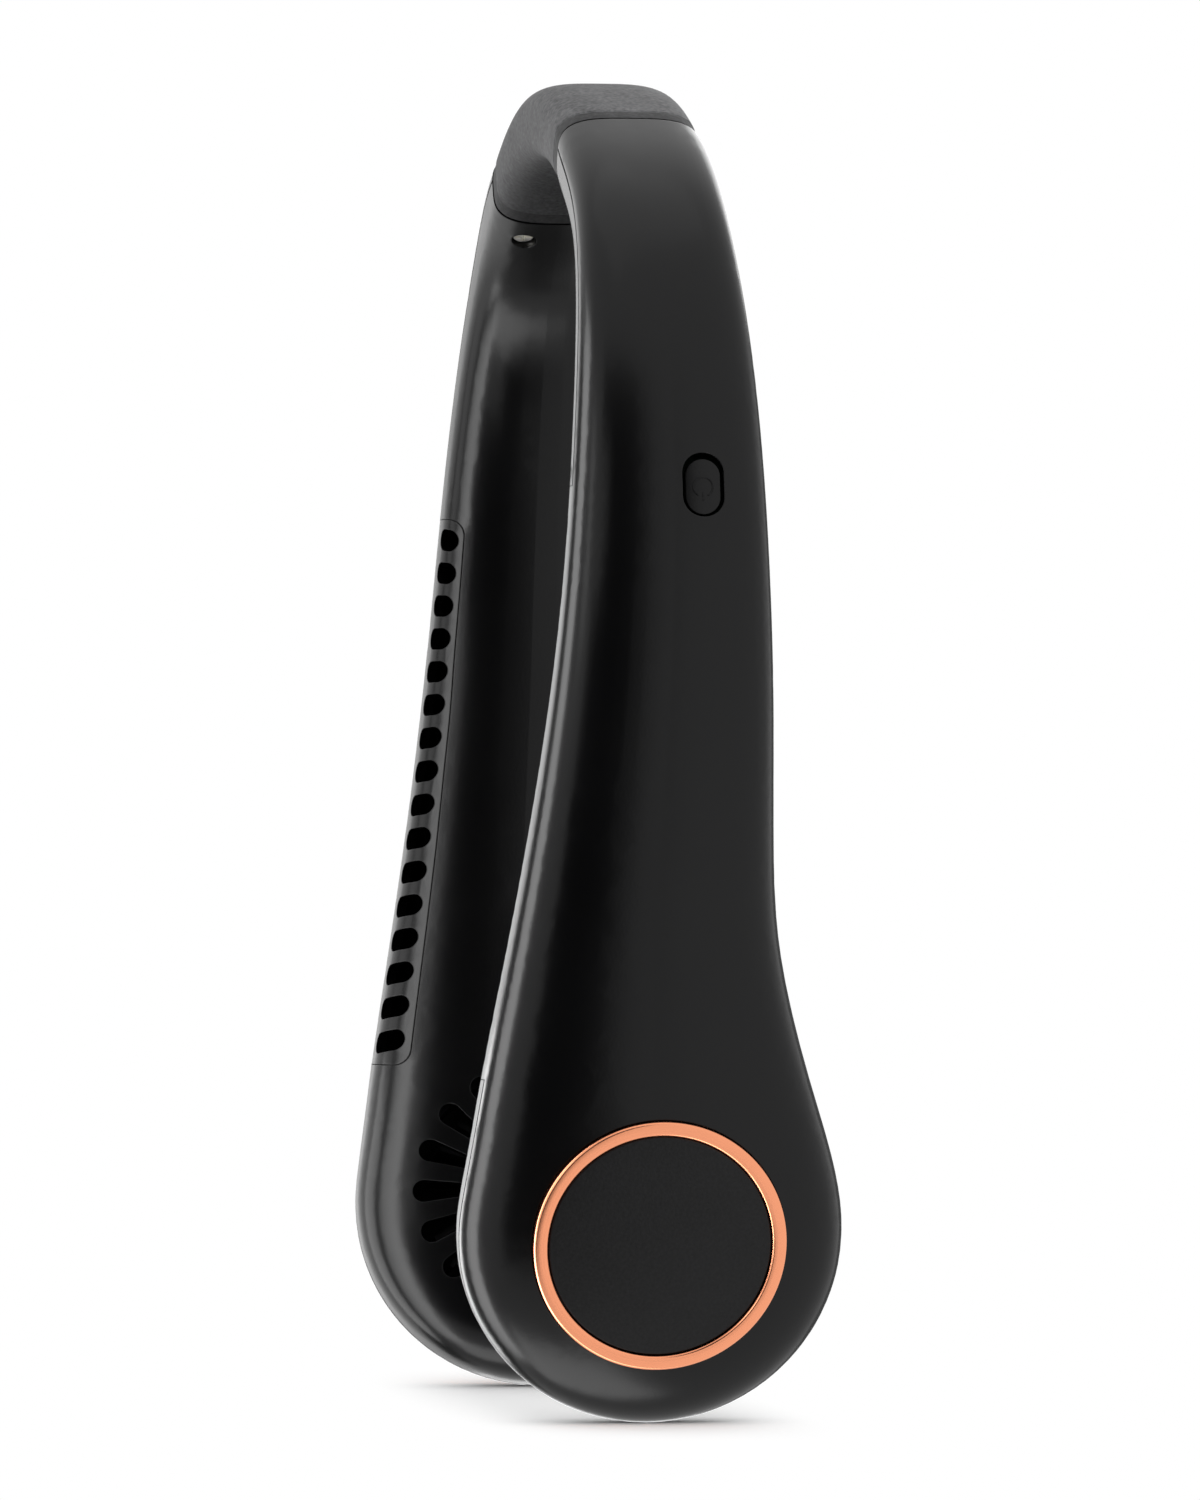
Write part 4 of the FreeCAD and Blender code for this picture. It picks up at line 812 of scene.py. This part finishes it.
class NECKFAN_OT_stage(bpy.types.Operator):
    """White floor, soft studio lamps and the camera"""

    bl_idname = "neck_fan.stage"
    bl_label = "Stage"

    def execute(self, context):
        self.floor()
        self.world()
        for lamp in LAMPS:
            self.lamp(*lamp)
        for card in CARDS:
            self.card(*card)
        shade = self.card(*SHADE)
        shade.visible_diffuse, shade.visible_glossy = True, False
        self.camera()
        return {"FINISHED"}

    def floor(self):
        """A white sheet of paper that fades into the white room."""
        bm = bmesh.new()
        bmesh.ops.create_grid(bm, x_segments=1, y_segments=1, size=FLOOR_HALF)
        mesh = bpy.data.meshes.new("floor")
        bm.to_mesh(mesh)
        bm.free()
        plane = bpy.data.objects.new("floor", mesh)
        bpy.context.scene.collection.objects.link(plane)
        # A reflection on the fan shows the white room in place of the paper, which is as white
        plane.visible_glossy = False
        material, tree, shader = new_material("Paper sweep white")
        tree.nodes.remove(shader)
        rays = add_node(tree, "ShaderNodeLightPath")
        # The lens sees the paper brighter than it lights the fan, so that it is white away from the shadow
        tone = add_node(
            tree, "ShaderNodeMapRange",
            {"Value": rays.outputs["Is Camera Ray"], "To Min": PAPER_LEVEL, "To Max": PAPER_SEEN})
        paper = add_node(tree, "ShaderNodeBsdfDiffuse", {"Color": tone.outputs["Result"]})
        glow = add_node(tree, "ShaderNodeEmission", {"Color": (1, 1, 1, 1), "Strength": 1.0})
        place = add_node(tree, "ShaderNodeTexCoord").outputs["Object"]
        oval = add_node(
            tree, "ShaderNodeVectorMath", {0: place, 1: SHADOW_OVAL}, operation="MULTIPLY")
        distance = add_node(tree, "ShaderNodeVectorMath", {0: oval.outputs["Vector"]}, operation="LENGTH")
        far = add_node(
            tree, "ShaderNodeMapRange",
            {"Value": distance.outputs["Value"], "From Min": SHADOW_NEAR, "From Max": SHADOW_FAR},
            interpolation_type="SMOOTHSTEP")
        seen_far = add_node(
            tree, "ShaderNodeMath", {0: far.outputs["Result"], 1: rays.outputs["Is Camera Ray"]},
            operation="MULTIPLY")
        mix = add_node(
            tree, "ShaderNodeMixShader", {0: seen_far.outputs[0], 1: paper.outputs[0], 2: glow.outputs[0]})
        tree.links.new(mix.outputs[0], tree.nodes["Material Output"].inputs["Surface"])
        mesh.materials.append(material)

    def world(self):
        """White where the lens or a reflection sees it, and a soft room light for the rest."""
        world = bpy.data.worlds.new("Studio")
        bpy.context.scene.world = world
        world.use_nodes = True
        tree = world.node_tree
        tree.nodes.clear()
        rays = add_node(tree, "ShaderNodeLightPath")
        level = add_node(
            tree, "ShaderNodeMapRange",
            {"Value": rays.outputs["Is Diffuse Ray"], "To Min": 1.0, "To Max": ROOM_LEVEL})
        room = add_node(
            tree, "ShaderNodeBackground", {"Color": (1, 1, 1, 1), "Strength": level.outputs["Result"]})
        add_node(tree, "ShaderNodeOutputWorld", {"Surface": room.outputs[0]})

    def stand(self, item, place, facing):
        """Puts a lamp or card at its place, turned to a height on the fan's middle line."""
        item.location = place
        item.rotation_mode = "QUATERNION"
        item.rotation_quaternion = (Vector((0.0, 0.0, facing)) - item.location).to_track_quat("-Z", "Y")
        item.visible_camera = False
        bpy.context.scene.collection.objects.link(item)

    def lamp(self, name, place, facing, width, height, level):
        """A soft box lamp, whose level is that of its bright face."""
        light = bpy.data.lights.new(name, "AREA")
        light.shape = "RECTANGLE"
        light.size, light.size_y = width, height
        light.energy = level * math.pi * width * height
        self.stand(bpy.data.objects.new(name, light), place, facing)

    def card(self, name, place, facing, width, height, level, far_level):
        """A dark or bright card that only reflections see, so that the black shells keep their depth."""
        bm = bmesh.new()
        bmesh.ops.create_grid(bm, x_segments=1, y_segments=1, size=0.5)
        bmesh.ops.scale(bm, verts=bm.verts, vec=(width, height, 1.0))
        mesh = bpy.data.meshes.new(name)
        bm.to_mesh(mesh)
        bm.free()
        card = bpy.data.objects.new(name, mesh)
        self.stand(card, place, facing)
        card.visible_diffuse = card.visible_shadow = card.visible_transmission = False
        material, tree, shader = new_material("Card matte " + name)
        tree.nodes.remove(shader)
        spot = add_node(tree, "ShaderNodeTexCoord").outputs["Object"]
        side = add_node(tree, "ShaderNodeSeparateXYZ", {"Vector": spot}).outputs["X"]
        run = add_node(
            tree, "ShaderNodeMapRange",
            {"Value": side, "From Min": -width / 2, "From Max": width / 2,
             "To Min": level, "To Max": far_level})
        glow = add_node(
            tree, "ShaderNodeEmission", {"Color": (1, 1, 1, 1), "Strength": run.outputs["Result"]})
        tree.links.new(glow.outputs[0], tree.nodes["Material Output"].inputs["Surface"])
        mesh.materials.append(material)
        return card

    def camera(self):
        """The photograph's view: a long lens, a little round from straight at the right arm."""
        focal_px, long_side_px = 10290.0, 1500.0
        round_by = math.radians(8.5)
        level_px, side_px = 130.0, -6.0
        middle, distance = Vector((0, 2.66 * MM, 83.78 * MM)), 1.65
        forward = Vector((-math.cos(round_by), math.sin(round_by), 0))
        right = Vector((math.sin(round_by), math.cos(round_by), 0))
        aim = forward + right * (side_px / focal_px) + Vector((0, 0, level_px / focal_px))
        data = bpy.data.cameras.new("camera")
        data.sensor_width = 36.0
        data.lens = focal_px / long_side_px * data.sensor_width
        data.clip_start, data.clip_end = 0.05, 50.0
        camera = bpy.data.objects.new("camera", data)
        camera.location = middle - forward * distance
        camera.rotation_mode = "QUATERNION"
        camera.rotation_quaternion = aim.to_track_quat("-Z", "Y")
        bpy.context.scene.collection.objects.link(camera)
        bpy.context.scene.camera = camera
        bpy.context.scene.view_settings.view_transform = "Standard"


OPERATORS = (
    NECKFAN_OT_carried_nodes,
    NECKFAN_OT_band,
    NECKFAN_OT_band_core,
    NECKFAN_OT_covers,
    NECKFAN_OT_button,
    NECKFAN_OT_stage,
)


class NECKFAN_PT_sidebar(bpy.types.Panel):
    """Lists the steps of the dressing"""

    bl_idname = "NECKFAN_PT_sidebar"
    bl_label = "Neck fan"
    bl_space_type = "VIEW_3D"
    bl_region_type = "UI"
    bl_category = "Neck fan"

    def draw(self, context):
        for operator in OPERATORS:
            self.layout.operator(operator.bl_idname)
        for group in (context.scene.neck_fan.sizes, context.scene.neck_fan.colours):
            for key in group.__annotations__:
                self.layout.prop(group, key)


CLASSES = (NeckFanSizes, NeckFanColours, NeckFanLook) + OPERATORS + (NECKFAN_PT_sidebar,)


def register():
    for item in CLASSES:
        bpy.utils.register_class(item)
    bpy.types.Scene.neck_fan = PointerProperty(type=NeckFanLook)


def unregister():
    del bpy.types.Scene.neck_fan
    for item in reversed(CLASSES):
        bpy.utils.unregister_class(item)


def main():
    register()
    bpy.ops.neck_fan.carried_nodes()
    bpy.ops.neck_fan.band()
    bpy.ops.neck_fan.band_core()
    bpy.ops.neck_fan.covers()
    bpy.ops.neck_fan.button()
    bpy.ops.neck_fan.stage()


if __name__ == "__main__":
    main()
